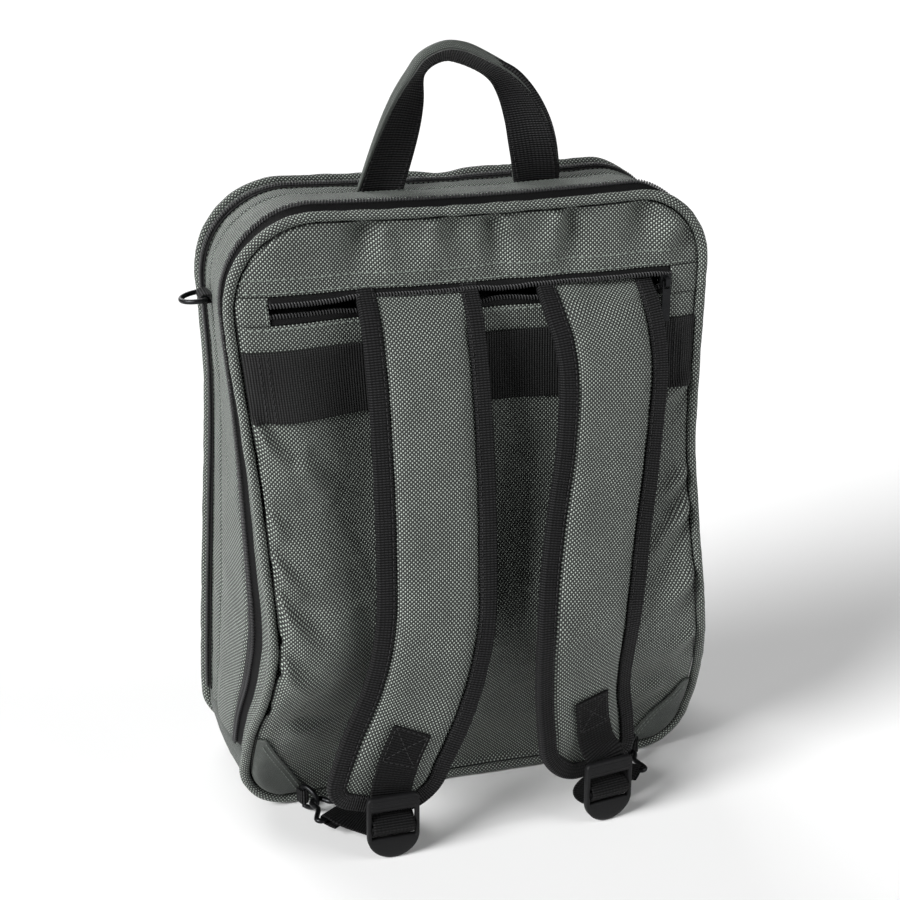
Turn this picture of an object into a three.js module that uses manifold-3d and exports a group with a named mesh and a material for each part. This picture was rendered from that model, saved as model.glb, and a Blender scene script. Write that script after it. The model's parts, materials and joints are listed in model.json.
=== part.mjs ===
// A small convertible backpack, standing on its base with its harness side forward.
// Millimetres. X runs across the back, -Y points to the wearer, +Z is up, and z = 0 is the floor.
// The body is a boxy bag of cloth walls: a front panel, a gusset that runs up one side, over the
// top and down the other, a base strip, and a back panel whose lower half bellies out towards the
// wearer. Two long zips part the gusset, and piping edges both panels.
import * as THREE from 'three';
import Module from 'manifold-3d';
import { mergeVertices } from 'three/addons/utils/BufferGeometryUtils.js';

const wasm = await Module();
wasm.setup();

// Body
const WIDTH = 289;
const HEIGHT = 370;
const DEPTH = 95;
const CORNER_TOP_LEFT = 56;
const CORNER_TOP_RIGHT = 44;
const CORNER_BOTTOM = 30;
const CLOTH = 2;
const GAP = 0.3;
const PIPING_RADIUS = 3;
const GUSSET_RECESS = 0.8;
const SEAM_HEIGHT = 45;

// How far the stuffed back bellies out, and how far its edges draw in there
const BELLY_FORWARD = 49;
const BELLY_INWARD = 13;
const BELLY_REACH = 0.8;
const PANEL_CROWN = 5;
const FRONT_CROWN = 7;
const CROWN_RISE = 45;
const SIDE_SWELL = 5;
const TOP_SAG = 2.5;
const NOTCH_DEPTH = 5;
const PUCKER_DEPTH = 2.6;

// Places of the seams in the gusset, measured from mid depth towards the front
const BACK_ZIP_Y = -30;
const FRONT_ZIP_Y = 33;
const HANDLE_SEAM_Y = 12;
const ZIP_TAPE_WIDTH = 11;
const ZIP_TAPE = 1.2;
const COIL_WIDTH = 4;
const COIL_RISE = 1.7;

// Pocket slot across the back and the sleeve band under it
const SLOT_LOW = 311;
const SLOT_HIGH = 327;
const SLOT_HALF = 121.8;
const SLOT_TAPE = 3.4;
const SLOT_FLARE = 3.2;
const LINING = 1;
const LINING_DROP = 75;
const LINING_DEPTH = 19.5;
const LINING_RISE = 13.6;
const LINING_CLEAR = 1.6;
const BAND_LOW = 256.5;
const BAND_HEIGHT = 40;
const BAND = 1.5;
const PULLER_LENGTH = 27;
const PULLER_WIDTH = 5;
const PULLER_BEVEL = 1.5;

// Shoulder straps
const PAD_WIDTH = 72;
const PAD_FRONT = 5.5;
const PAD_BACK = 3;
const PAD_RIM = 1.2;
const PAD_TUCK = 0.6;
const BINDING_WIDTH = 12;
const BINDING = 1.2;
const PAD_OUTER_ROUND = 16;
const PAD_INNER_ROUND = 32;
const WEBBING_WIDTH = 25;
const WEBBING = 1.2;

// Ladder-lock buckle at the foot of each strap
const LOCK_WIDTH = 31.5;
const LOCK_HEIGHT = 41;
const LOCK_THICK = 4.5;
const LOCK_FOOT = 0.6;
const LOCK_SLOT_SIDE = 0.7;
const LOCK_FOOT_ROUND = 15;
const LOCK_CORNER = 3;
const LOCK_LOWER_SLOT = 12;
const LOCK_BAR = 20.8;
const LOCK_BAR_HALF = 1.6;
const LOCK_UPPER_SLOT = 31.5;

// Carrying handle
const HANDLE_SPAN = 127;
const HANDLE_RISE = 87.5;
const HANDLE_WIDTH = 28;
const HANDLE_FABRIC = 2.4;
const HANDLE_LINING = 1.4;
const HANDLE_START = -53.5;
const HANDLE_CREASE = 2.2;
const HANDLE_STEPS = 24;

// Rings and hooks
const RING_WIRE = 1.5;
const SIDE_RING_WIDTH = 20;
const SIDE_RING_HEIGHT = 312;
const SIDE_RING_REACH = 12;
const SIDE_RING_DROOP = 0.12;
const SIDE_LOOP_WIDTH = 16;
const RING_ACROSS = 106;
const RING_AHEAD = 62;
const RING_HEIGHT = 9.5;
const RING_BAR = 14;
const RING_REACH = 10.5;
const WING_LOW = 9;
const WING_HEIGHT = 62;
const WING_FOOT = 106;
const WING_TIP = 135;
const WING_THICK = 1.6;
const WING_LIFT = 0.3;
const HOOK_WIRE = 1.6;
const HOOK_LENGTH = 20;

// Sliders and pullers
const SLIDER_WIDTH = 6.4;
const SLIDER_HEIGHT = 8;
const SLIDER_THICK = 2.4;
const SLIDER_PROUD = 4.6;
const BRIDGE_WIDTH = 2.6;
const BRIDGE_OPENING = 2.1;
const BRIDGE = 1.2;
const BRIDGE_HALF = 3;
const PULLER_BAR = 0.5;
const PULLER_EYE = 4.2;
const FAR_SLIDER_HEIGHT = 92;
const FAR_SLIDER_CLEAR = 0.9;
const FAR_SLIDER_HALF = 5;
const FAR_SLIDER_FRONT = 4.4;

const FABRIC = { color: 0x5b625d, roughness: 0.85, metalness: 0 };
const WEB = { color: 0x1d1e1f, roughness: 0.9, metalness: 0 };
const PLASTIC = { color: 0x242526, roughness: 0.45, metalness: 0 };
const GUNMETAL = { color: 0x34373a, roughness: 0.35, metalness: 0.9 };

// The belly, bottom to top: height as a share of HEIGHT, then shares of the two belly sizes
const BELLY = [
  { height: 0, forward: 0, inward: 0 },
  { height: 0.08, forward: 0.13, inward: 0 },
  { height: 0.135, forward: 0.35, inward: 0.04 },
  { height: 0.19, forward: 0.56, inward: 0.2 },
  { height: 0.243, forward: 0.79, inward: 0.52 },
  { height: 0.29, forward: 0.93, inward: 0.75 },
  { height: 0.338, forward: 1, inward: 0.95 },
  { height: 0.38, forward: 0.96, inward: 1 },
  { height: 0.432, forward: 0.81, inward: 0.98 },
  { height: 0.486, forward: 0.66, inward: 0.93 },
  { height: 0.54, forward: 0.51, inward: 0.88 },
  { height: 0.6, forward: 0.38, inward: 0.81 },
  { height: 0.7, forward: 0.23, inward: 0.56 },
  { height: 0.81, forward: 0.09, inward: 0.26 },
  { height: 0.93, forward: 0, inward: 0.04 },
  { height: 1, forward: 0, inward: 0 },
];

// How the side walls stand out and fall in, as shares of SIDE_SWELL
const SWELL = [
  { height: 0, out: 0.1 },
  { height: 0.1, out: 1 },
  { height: 0.27, out: 0.6 },
  { height: 0.42, out: 0 },
  { height: 0.68, out: -0.9 },
  { height: 0.86, out: -0.4 },
  { height: 0.95, out: 0 },
  { height: 1, out: 0 },
];

// Puckers and soft dents of the back panel: places and radii are shares of half WIDTH and HEIGHT
const PUCKERS = [
  { across: -0.42, height: 0.965, deep: 0.8, wide: 0.07, tall: 0.05 },
  { across: -0.13, height: 0.965, deep: 0.7, wide: 0.06, tall: 0.05 },
  { across: 0.14, height: 0.94, deep: 1, wide: 0.06, tall: 0.07 },
  { across: 0.4, height: 0.945, deep: 1, wide: 0.06, tall: 0.07 },
  { across: 0.74, height: 0.96, deep: 0.8, wide: 0.07, tall: 0.05 },
  { across: -0.8, height: 0.56, deep: 1, wide: 0.12, tall: 0.05 },
  { across: -0.84, height: 0.4, deep: 1, wide: 0.1, tall: 0.04 },
  { across: -0.78, height: 0.24, deep: 0.9, wide: 0.14, tall: 0.04 },
  { across: 0.86, height: 0.5, deep: 0.8, wide: 0.09, tall: 0.05 },
  { across: 0.8, height: 0.2, deep: 0.9, wide: 0.12, tall: 0.04 },
];

// Strap courses, top to bottom, for the middle of the pad's front face. Heights are shares of
// HEIGHT, across is a share of half WIDTH, ahead is a share of DEPTH in front of mid depth, and
// turn is the angle in degrees by which the pad faces away from the wearer's left.
const STRAPS = {
  left: {
    side: -1,
    course: [
      { height: 0.9075, across: -0.236, ahead: 0.468, turn: 0 },
      { height: 0.862, across: -0.236, ahead: 0.63, turn: 0 },
      { height: 0.838, across: -0.236, ahead: 0.711, turn: 0 },
      { height: 0.81, across: -0.235, ahead: 0.764, turn: 0 },
      { height: 0.75, across: -0.231, ahead: 0.832, turn: 0 },
      { height: 0.63, across: -0.232, ahead: 0.945, turn: 0 },
      { height: 0.5, across: -0.242, ahead: 1.065, turn: 0 },
      { height: 0.365, across: -0.267, ahead: 1.167, turn: 0 },
      { height: 0.257, across: -0.338, ahead: 1.206, turn: 1 },
      { height: 0.162, across: -0.45, ahead: 1.242, turn: 3 },
      { height: 0.07, across: -0.53, ahead: 1.26, turn: 4 },
    ],
  },
  right: {
    side: 1,
    course: [
      { height: 0.9075, across: 0.505, ahead: 0.462, turn: 2 },
      { height: 0.862, across: 0.507, ahead: 0.618, turn: 2 },
      { height: 0.838, across: 0.515, ahead: 0.708, turn: 3 },
      { height: 0.805, across: 0.535, ahead: 0.77, turn: 6 },
      { height: 0.738, across: 0.548, ahead: 0.848, turn: 9 },
      { height: 0.62, across: 0.512, ahead: 0.965, turn: 13 },
      { height: 0.495, across: 0.44, ahead: 1.11, turn: 12 },
      { height: 0.35, across: 0.379, ahead: 1.25, turn: 13 },
      { height: 0.21, across: 0.388, ahead: 1.18, turn: 20 },
      { height: 0.143, across: 0.405, ahead: 1.18, turn: 19 },
      { height: 0.07, across: 0.415, ahead: 1.19, turn: 19 },
    ],
  },
};

// Buckles: middle of the lock across as a share of half WIDTH, its back face ahead of mid depth
// as a share of DEPTH, and its turn in degrees
const LOCKS = {
  left: { across: -0.481, ahead: 1.275, turn: 0 },
  right: { across: 0.455, ahead: 1.25, turn: 9 },
};

// Handle edges from the left foot to the right foot: x as a share of HANDLE_SPAN, z of
// HANDLE_RISE, and y, towards the back panel when negative, of HANDLE_WIDTH
const HANDLE = [
  { x: 0, z: 0, y: 0, inX: 0.229, inZ: 0, inY: 0 },
  { x: 0.094, z: 0.355, y: -0.14, inX: 0.285, inZ: 0.327, inY: 0.07 },
  { x: 0.172, z: 0.65, y: -0.32, inX: 0.328, inZ: 0.585, inY: 0.21 },
  { x: 0.213, z: 0.795, y: -0.54, inX: 0.346, inZ: 0.758, inY: 0.29 },
  { x: 0.274, z: 0.933, y: -0.64, inX: 0.387, inZ: 0.818, inY: 0.25 },
  { x: 0.39, z: 1, y: -0.64, inX: 0.443, inZ: 0.844, inY: 0.25 },
  { x: 0.48, z: 0.979, y: -0.64, inX: 0.5, inZ: 0.832, inY: 0.25 },
  { x: 0.606, z: 0.888, y: -0.64, inX: 0.615, inZ: 0.759, inY: 0.25 },
  { x: 0.719, z: 0.773, y: -0.64, inX: 0.673, inZ: 0.694, inY: 0.18 },
  { x: 0.802, z: 0.632, y: -0.61, inX: 0.713, inZ: 0.585, inY: 0.11 },
  { x: 0.865, z: 0.474, y: -0.57, inX: 0.744, inZ: 0.433, inY: 0.04 },
  { x: 0.912, z: 0.321, y: -0.46, inX: 0.758, inZ: 0.287, inY: 0 },
  { x: 0.958, z: 0.14, y: -0.25, inX: 0.769, inZ: 0.131, inY: 0 },
  { x: 1, z: 0, y: 0, inX: 0.761, inZ: 0, inY: 0 },
];

const pack = new THREE.Group();

// Reads a column of a table at a height, smoothly between its rows
function read(table, column, at, key = 'height') {
  const last = table.length - 1;
  const sign = Math.sign(table[last][key] - table[0][key]);
  if ((at - table[0][key]) * sign <= 0) return table[0][column];
  if ((at - table[last][key]) * sign >= 0) return table[last][column];
  let i = 0;
  while ((at - table[i + 1][key]) * sign > 0) i += 1;
  const a = table[i];
  const b = table[i + 1];
  const before = table[Math.max(0, i - 1)];
  const after = table[Math.min(last, i + 2)];
  const span = b[key] - a[key];
  const slopeA = (b[column] - before[column]) / (b[key] - before[key]) * span;
  const slopeB = (after[column] - a[column]) / (after[key] - a[key]) * span;
  const t = (at - a[key]) / span;
  const rise = b[column] - a[column];
  return a[column] + t * (slopeA + t * (3 * rise - 2 * slopeA - slopeB + t * (slopeA + slopeB - 2 * rise)));
}

const clamp = (v, low, high) => Math.min(high, Math.max(low, v));
const ramp = (v, low, high) => {
  const t = clamp((v - low) / (high - low), 0, 1);
  return t * t * (3 - 2 * t);
};
const bump = (d) => Math.exp(-d * d);

// Where a point of the plain box lies on the stuffed bag
function settled(x, y, z) {
  const share = clamp((y + DEPTH / 2) / DEPTH, 0, 1);
  const hold = Math.max(0, 1 - share / BELLY_REACH);
  const h = z / HEIGHT;
  const side = x / (WIDTH / 2);
  const forward = BELLY_FORWARD * read(BELLY, 'forward', h) * hold;
  const inward = BELLY_INWARD * read(BELLY, 'inward', h) * hold * hold;
  const swell = SIDE_SWELL * read(SWELL, 'out', h) * ramp(share, 0, 0.5);
  const top = ramp(h, 0.8, 1);
  const sag = TOP_SAG * Math.max(0, 1 - (side / 0.75) ** 2);
  const notch = NOTCH_DEPTH * bump((x / WIDTH - 0.03) / 0.045) * ramp(share, 0.75, 1);
  return new THREE.Vector3(
    x - side * inward + side * Math.abs(side) ** 3 * swell,
    y - forward,
    z - top * (sag + notch),
  );
}

// One closed solid from a row of rings with as many points each. A sheet's ends are closed by
// pairs across its thickness, so that a curved edge stays curved.
function loft(rings, closed = false, capOf = flatCap) {
  const count = rings[0].length;
  const position = [];
  for (const ring of rings) for (const p of ring) position.push(p.x, p.y, p.z);
  const index = [];
  const spans = closed ? rings.length : rings.length - 1;
  for (let r = 0; r < spans; r += 1) {
    const next = (r + 1) % rings.length;
    for (let i = 0; i < count; i += 1) {
      const j = (i + 1) % count;
      const [a, b, c, d] = [r * count + i, r * count + j, next * count + j, next * count + i];
      index.push(a, b, c, a, c, d);
    }
  }
  if (!closed) {
    for (const tri of capOf(rings[0])) index.push(tri[2], tri[1], tri[0]);
    const start = (rings.length - 1) * count;
    for (const tri of capOf(rings[rings.length - 1])) index.push(start + tri[0], start + tri[1], start + tri[2]);
  }
  const geometry = new THREE.BufferGeometry();
  if (volumeOf(position, index) < 0) index.reverse();
  geometry.setAttribute('position', new THREE.Float32BufferAttribute(position, 3));
  geometry.setIndex(index);
  geometry.computeVertexNormals();
  return geometry;
}

// Triangles that close a sheet's end ring, whose second half runs back behind its first
function pairedCap(ring) {
  const last = ring.length - 1;
  const out = [];
  for (let i = 0; i < ring.length / 2 - 1; i += 1) out.push([i, i + 1, last - i - 1], [i, last - i - 1, last - i]);
  return out;
}

// Triangles that close a flat ring, wound the way the ring runs
function flatCap(ring) {
  const normal = new THREE.Vector3();
  ring.forEach((p, i) => normal.add(new THREE.Vector3().crossVectors(p, ring[(i + 1) % ring.length])));
  normal.normalize();
  const u = new THREE.Vector3().subVectors(ring[Math.floor(ring.length / 2)], ring[0]);
  u.addScaledVector(normal, -u.dot(normal)).normalize();
  const v = new THREE.Vector3().crossVectors(normal, u);
  return THREE.ShapeUtils.triangulateShape(ring.map((p) => new THREE.Vector2(p.dot(u), p.dot(v))), []);
}

function volumeOf(position, index) {
  let volume = 0;
  const at = (k) => new THREE.Vector3().fromArray(position, index[k] * 3);
  for (let k = 0; k < index.length; k += 3) volume += at(k).dot(at(k + 1).cross(at(k + 2)));
  return volume;
}

function add(name, geometry, finish) {
  const mesh = new THREE.Mesh(geometry, new THREE.MeshStandardMaterial(finish));
  mesh.name = name;
  pack.add(mesh);
  return mesh;
}

// The outline of the bag seen from behind, as stations with an outward normal. It is cut at the
// two seams where the gusset meets the base strip.
const BASE = PIPING_RADIUS + GAP;
const TOP_STEPS = 10;
const SIDE_STEPS = 11;
const TOP_CORNER_STEPS = 6;
const BASE_CORNER_STEPS = 5;

function arc(centreX, centreZ, radius, from, to, steps) {
  const out = [];
  for (let i = 0; i <= steps; i += 1) {
    const angle = from + (to - from) * i / steps;
    const [nx, nz] = [Math.cos(angle), Math.sin(angle)];
    out.push({ x: centreX + radius * nx, z: centreZ + radius * nz, nx, nz });
  }
  return out;
}

function straight(a, b, steps) {
  const out = [];
  for (let i = 1; i < steps; i += 1) {
    const t = i / steps;
    out.push({ x: a.x + (b.x - a.x) * t, z: a.z + (b.z - a.z) * t, nx: a.nx, nz: a.nz });
  }
  return out;
}

function overTheTop() {
  const half = WIDTH / 2;
  const steps = TOP_CORNER_STEPS;
  const left = arc(CORNER_TOP_LEFT - half, HEIGHT - CORNER_TOP_LEFT, CORNER_TOP_LEFT, Math.PI, Math.PI / 2, steps);
  const right = arc(half - CORNER_TOP_RIGHT, HEIGHT - CORNER_TOP_RIGHT, CORNER_TOP_RIGHT, Math.PI / 2, 0, steps);
  const foot = { x: -half, z: SEAM_HEIGHT, nx: -1, nz: 0 };
  const end = { x: half, z: SEAM_HEIGHT, nx: 1, nz: 0 };
  return [
    foot, ...straight(foot, left[0], SIDE_STEPS), ...left,
    ...straight(left[steps], right[0], TOP_STEPS), ...right,
    ...straight(right[steps], end, SIDE_STEPS), end,
  ];
}

function underTheBase() {
  const half = WIDTH / 2;
  const z = BASE + CORNER_BOTTOM;
  const steps = BASE_CORNER_STEPS;
  const right = arc(half - CORNER_BOTTOM, z, CORNER_BOTTOM, 0, -Math.PI / 2, steps);
  const left = arc(CORNER_BOTTOM - half, z, CORNER_BOTTOM, -Math.PI / 2, -Math.PI, steps);
  const from = { x: half, z: SEAM_HEIGHT, nx: 1, nz: 0 };
  const to = { x: -half, z: SEAM_HEIGHT, nx: -1, nz: 0 };
  return [from, ...right, ...straight(right[steps], left[0], 4), ...left, to];
}

// The gusset's outer face lies a little inside the piping, and flat on the floor at the base
function skinOffset(station) {
  const down = Math.max(0, -station.nz);
  return -GUSSET_RECESS + (BASE + GUSSET_RECESS) * down;
}

// A run along the outline of a section given as [out, y] pairs
function run(stations, section, closed = false, onSkin = true) {
  const rings = stations.map((station) => {
    const skin = onSkin ? skinOffset(station) : 0;
    return section.map(([out, y]) => settled(
      station.x + station.nx * (out + skin), y, station.z + station.nz * (out + skin)));
  });
  return loft(rings, closed);
}

function strip(from, to, waist = 0) {
  const middle = (from + to) / 2;
  if (waist === 0) return [[0, from], [0, to], [-CLOTH, to], [-CLOTH, from]];
  return [[0, from], [-waist, middle], [0, to], [-CLOTH, to], [-CLOTH - waist, middle], [-CLOTH, from]];
}

function zipSection(middle) {
  const half = ZIP_TAPE_WIDTH / 2 - GAP / 2;
  const tape = -0.5;
  return [
    [tape, middle - half], [tape, middle - COIL_WIDTH / 2], [COIL_RISE + tape, middle - COIL_WIDTH / 4],
    [COIL_RISE + tape, middle + COIL_WIDTH / 4], [tape, middle + COIL_WIDTH / 2], [tape, middle + half],
    [tape - ZIP_TAPE, middle + half], [tape - ZIP_TAPE, middle - half],
  ];
}

function pipingSection(y, sides) {
  const out = [];
  for (let i = 0; i < sides; i += 1) {
    const angle = (i + 0.5) / sides * Math.PI * 2;
    const reach = PIPING_RADIUS / Math.cos(Math.PI / sides);
    out.push([Math.cos(angle) * reach, y + Math.sin(angle) * reach]);
  }
  return out;
}

function makeShellRuns() {
  const upper = overTheTop();
  const lower = underTheBase();
  const whole = [...upper, ...lower.slice(1, -1)];
  const edge = DEPTH / 2 - PIPING_RADIUS - GAP * 2;
  const halfTape = ZIP_TAPE_WIDTH / 2 + GAP / 2;
  const backZip = [BACK_ZIP_Y - halfTape, BACK_ZIP_Y + halfTape];
  const frontZip = [FRONT_ZIP_Y - halfTape, FRONT_ZIP_Y + halfTape];
  add('back_piping', run(whole, pipingSection(-DEPTH / 2, 8), true, false), FABRIC);
  add('front_piping', run(whole, pipingSection(DEPTH / 2, 6), true, false), FABRIC);
  add('back_band', run(upper, strip(-edge, backZip[0])), FABRIC);
  add('back_zipper', run(upper, zipSection(BACK_ZIP_Y)), WEB);
  add('gusset_back', run(upper, strip(backZip[1], HANDLE_SEAM_Y - GAP / 2, 1)), FABRIC);
  add('gusset_front', run(upper, strip(HANDLE_SEAM_Y + GAP / 2, frontZip[0])), FABRIC);
  add('front_zipper', run(upper, zipSection(FRONT_ZIP_Y)), WEB);
  add('front_band', run(upper, strip(frontZip[1], edge)), FABRIC);
  const shortened = [
    { ...lower[0], z: SEAM_HEIGHT - GAP }, ...lower.slice(1, -1), { ...lower[lower.length - 1], z: SEAM_HEIGHT - GAP },
  ];
  add('base_strip', run(shortened, strip(-edge, edge, 0)), FABRIC);
}

// Half width of the panels at a height, left or right, inside the piping
function panelEdge(side, z, inset) {
  const topRound = (side < 0 ? CORNER_TOP_LEFT : CORNER_TOP_RIGHT) - inset;
  const baseRound = CORNER_BOTTOM - inset;
  const half = WIDTH / 2 - inset;
  const top = HEIGHT - inset;
  const foot = BASE + inset;
  const over = Math.max(0, z - (top - topRound));
  const under = Math.max(0, foot + baseRound - z);
  const round = over > 0 ? topRound : baseRound;
  const past = Math.min(round, Math.max(over, under));
  return side * (half - round + Math.sqrt(round * round - past * past));
}

const PANEL_INSET = PIPING_RADIUS + GAP * 3;

// The back panel's outer face
function backFace(x, z) {
  const half = WIDTH / 2 - PANEL_INSET;
  const across = Math.max(0, 1 - (x / half) ** 2);
  const up = ramp(z, 0, CROWN_RISE) * ramp(HEIGHT - z, 0, CROWN_RISE);
  let dent = 0;
  for (const row of PUCKERS) {
    const dx = (x / (WIDTH / 2) - row.across) / row.wide;
    const dz = (z / HEIGHT - row.height) / row.tall;
    dent += PUCKER_DEPTH * row.deep * bump(Math.hypot(dx, dz));
  }
  const place = settled(x, -DEPTH / 2, z);
  place.y += dent * Math.min(1, across * 3) - PANEL_CROWN * Math.sqrt(across) * up;
  return place;
}

function frontFace(x, z) {
  const half = WIDTH / 2 - PANEL_INSET;
  const across = Math.max(0, 1 - (x / half) ** 2);
  const up = ramp(z, 0, CROWN_RISE) * ramp(HEIGHT - z, 0, CROWN_RISE);
  const place = settled(x, DEPTH / 2, z);
  place.y += FRONT_CROWN * Math.sqrt(across) * up;
  return place;
}

// A sheet over rows of heights: its outer face follows a face function, its inner lies behind
function sheet(face, heights, spanAt, columns, near, far) {
  const rings = heights.map((z) => {
    const [from, to] = spanAt(z);
    const outer = [];
    const inner = [];
    for (let i = 0; i <= columns; i += 1) {
      const p = face(from + (to - from) * i / columns, z);
      outer.push(p.clone().setY(p.y + near));
      inner.push(p.clone().setY(p.y + far));
    }
    return [...outer, ...inner.reverse()];
  });
  return loft(rings, false, pairedCap);
}

function levels(low, high, steps) {
  return Array.from({ length: steps + 1 }, (_, i) => low + (high - low) * i / steps);
}

function cornerLevels(edge, round, away) {
  return [0, 0.35, 0.7, 1.05].map((angle) => edge + away * round * (1 - Math.cos(angle)));
}

function makePanels() {
  const fullSpan = (z) => [panelEdge(-1, z, PANEL_INSET), panelEdge(1, z, PANEL_INSET)];
  const foot = BASE + PANEL_INSET;
  const top = HEIGHT - PANEL_INSET;
  const low = cornerLevels(foot, CORNER_BOTTOM - PANEL_INSET, 1);
  const high = cornerLevels(top, CORNER_TOP_LEFT - PANEL_INSET, -1).reverse();
  const upperStart = SLOT_HIGH + GAP;
  add('panel_lower', sheet(backFace, [...low, ...levels(BASE + CORNER_BOTTOM, SLOT_LOW - GAP, 12)],
    fullSpan, 10, 0, CLOTH), FABRIC);
  add('panel_upper', sheet(backFace, [upperStart, ...high.filter((z) => z > upperStart + 4)],
    fullSpan, 14, 0, CLOTH), FABRIC);
  add('patch_left', sheet(backFace, [SLOT_LOW, SLOT_HIGH],
    (z) => [panelEdge(-1, z, PANEL_INSET), -SLOT_HALF - GAP], 2, 0, CLOTH), FABRIC);
  add('patch_right', sheet(backFace, [SLOT_LOW, SLOT_HIGH],
    (z) => [SLOT_HALF + GAP, panelEdge(1, z, PANEL_INSET)], 2, 0, CLOTH), FABRIC);
  const frontLevels = [...low, ...levels(BASE + CORNER_BOTTOM, HEIGHT - CORNER_TOP_LEFT - PANEL_INSET, 5), ...high];
  add('front_panel', sheet(frontFace, frontLevels, fullSpan, TOP_STEPS, 0, -CLOTH), FABRIC);
  add('sleeve_band', sheet(backFace, levels(BAND_LOW, BAND_LOW + BAND_HEIGHT, 2),
    (z) => [panelEdge(-1, z, PANEL_INSET + GAP), panelEdge(1, z, PANEL_INSET + GAP)], 10, -BAND - GAP, -GAP), WEB);
}

// A length across the back whose section, in [behind the face, z] pairs, follows the panel
function crossPiece(section, half, columns) {
  const rings = levels(-half, half, columns).map((x) => section.map(([behind, z]) => {
    const face = backFace(x, z);
    return face.setY(face.y + behind);
  }));
  return loft(rings);
}

function makePocket() {
  const tape = 1;
  const tipHigh = SLOT_HIGH - SLOT_TAPE;
  const tipLow = SLOT_LOW + SLOT_TAPE;
  add('slot_tape_upper', crossPiece([
    [0, SLOT_HIGH], [-SLOT_FLARE * 0.7, tipHigh + 2], [-SLOT_FLARE, tipHigh], [-SLOT_FLARE + tape * 1.5, tipHigh],
    [-SLOT_FLARE * 0.7 + tape * 1.4, tipHigh + 2], [tape, SLOT_HIGH],
  ], SLOT_HALF, 10), WEB);
  add('slot_tape_lower', crossPiece([
    [0.2, SLOT_LOW], [tape + 0.2, SLOT_LOW], [tape + 2.4, tipLow], [tape + 0.6, tipLow], [tape, tipLow - 2],
  ], SLOT_HALF, 10), WEB);
  const roof = SLOT_HIGH + LINING_RISE;
  const back = LINING_DEPTH;
  const floor = SLOT_LOW - LINING_DROP;
  const front = CLOTH + LINING_CLEAR;
  add('pocket_lining', crossPiece([
    [front, roof], [back, roof], [back, floor], [front + 1, floor], [front + 1, SLOT_LOW - 1],
    [front + 1 + LINING, SLOT_LOW - 1], [front + 1 + LINING, floor + LINING], [back - LINING, floor + LINING],
    [back - LINING, roof - LINING], [front, roof - LINING],
  ], SLOT_HALF, 10), WEB);
}

// A strap's course as frames: middle of the pad, across, along and out of its face
function strapCourse(strap) {
  const points = strap.course.map((row) => {
    const turn = row.turn * Math.PI / 180;
    const face = new THREE.Vector3(Math.sin(turn), -Math.cos(turn), 0);
    const front = new THREE.Vector3(row.across * WIDTH / 2, -row.ahead * DEPTH, row.height * HEIGHT);
    return front.addScaledVector(face, -PAD_FRONT);
  });
  const curve = new THREE.CatmullRomCurve3(points, false, 'centripetal');
  const length = curve.getLength();
  const frame = (s) => {
    const t = clamp(s / length, 0, 1);
    const middle = curve.getPointAt(t);
    const along = curve.getTangentAt(t);
    const turn = read(strap.course, 'turn', middle.z / HEIGHT) * Math.PI / 180;
    const across = new THREE.Vector3(Math.cos(turn), Math.sin(turn), 0);
    across.addScaledVector(along, -across.dot(along)).normalize();
    const out = new THREE.Vector3().crossVectors(along, across);
    return { middle, along, across, out };
  };
  return { frame, length };
}

function padHalf(s, length, round) {
  const past = Math.max(0, s - (length - round));
  return PAD_WIDTH / 2 - round + Math.sqrt(Math.max(0, round * round - past * past));
}

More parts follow.
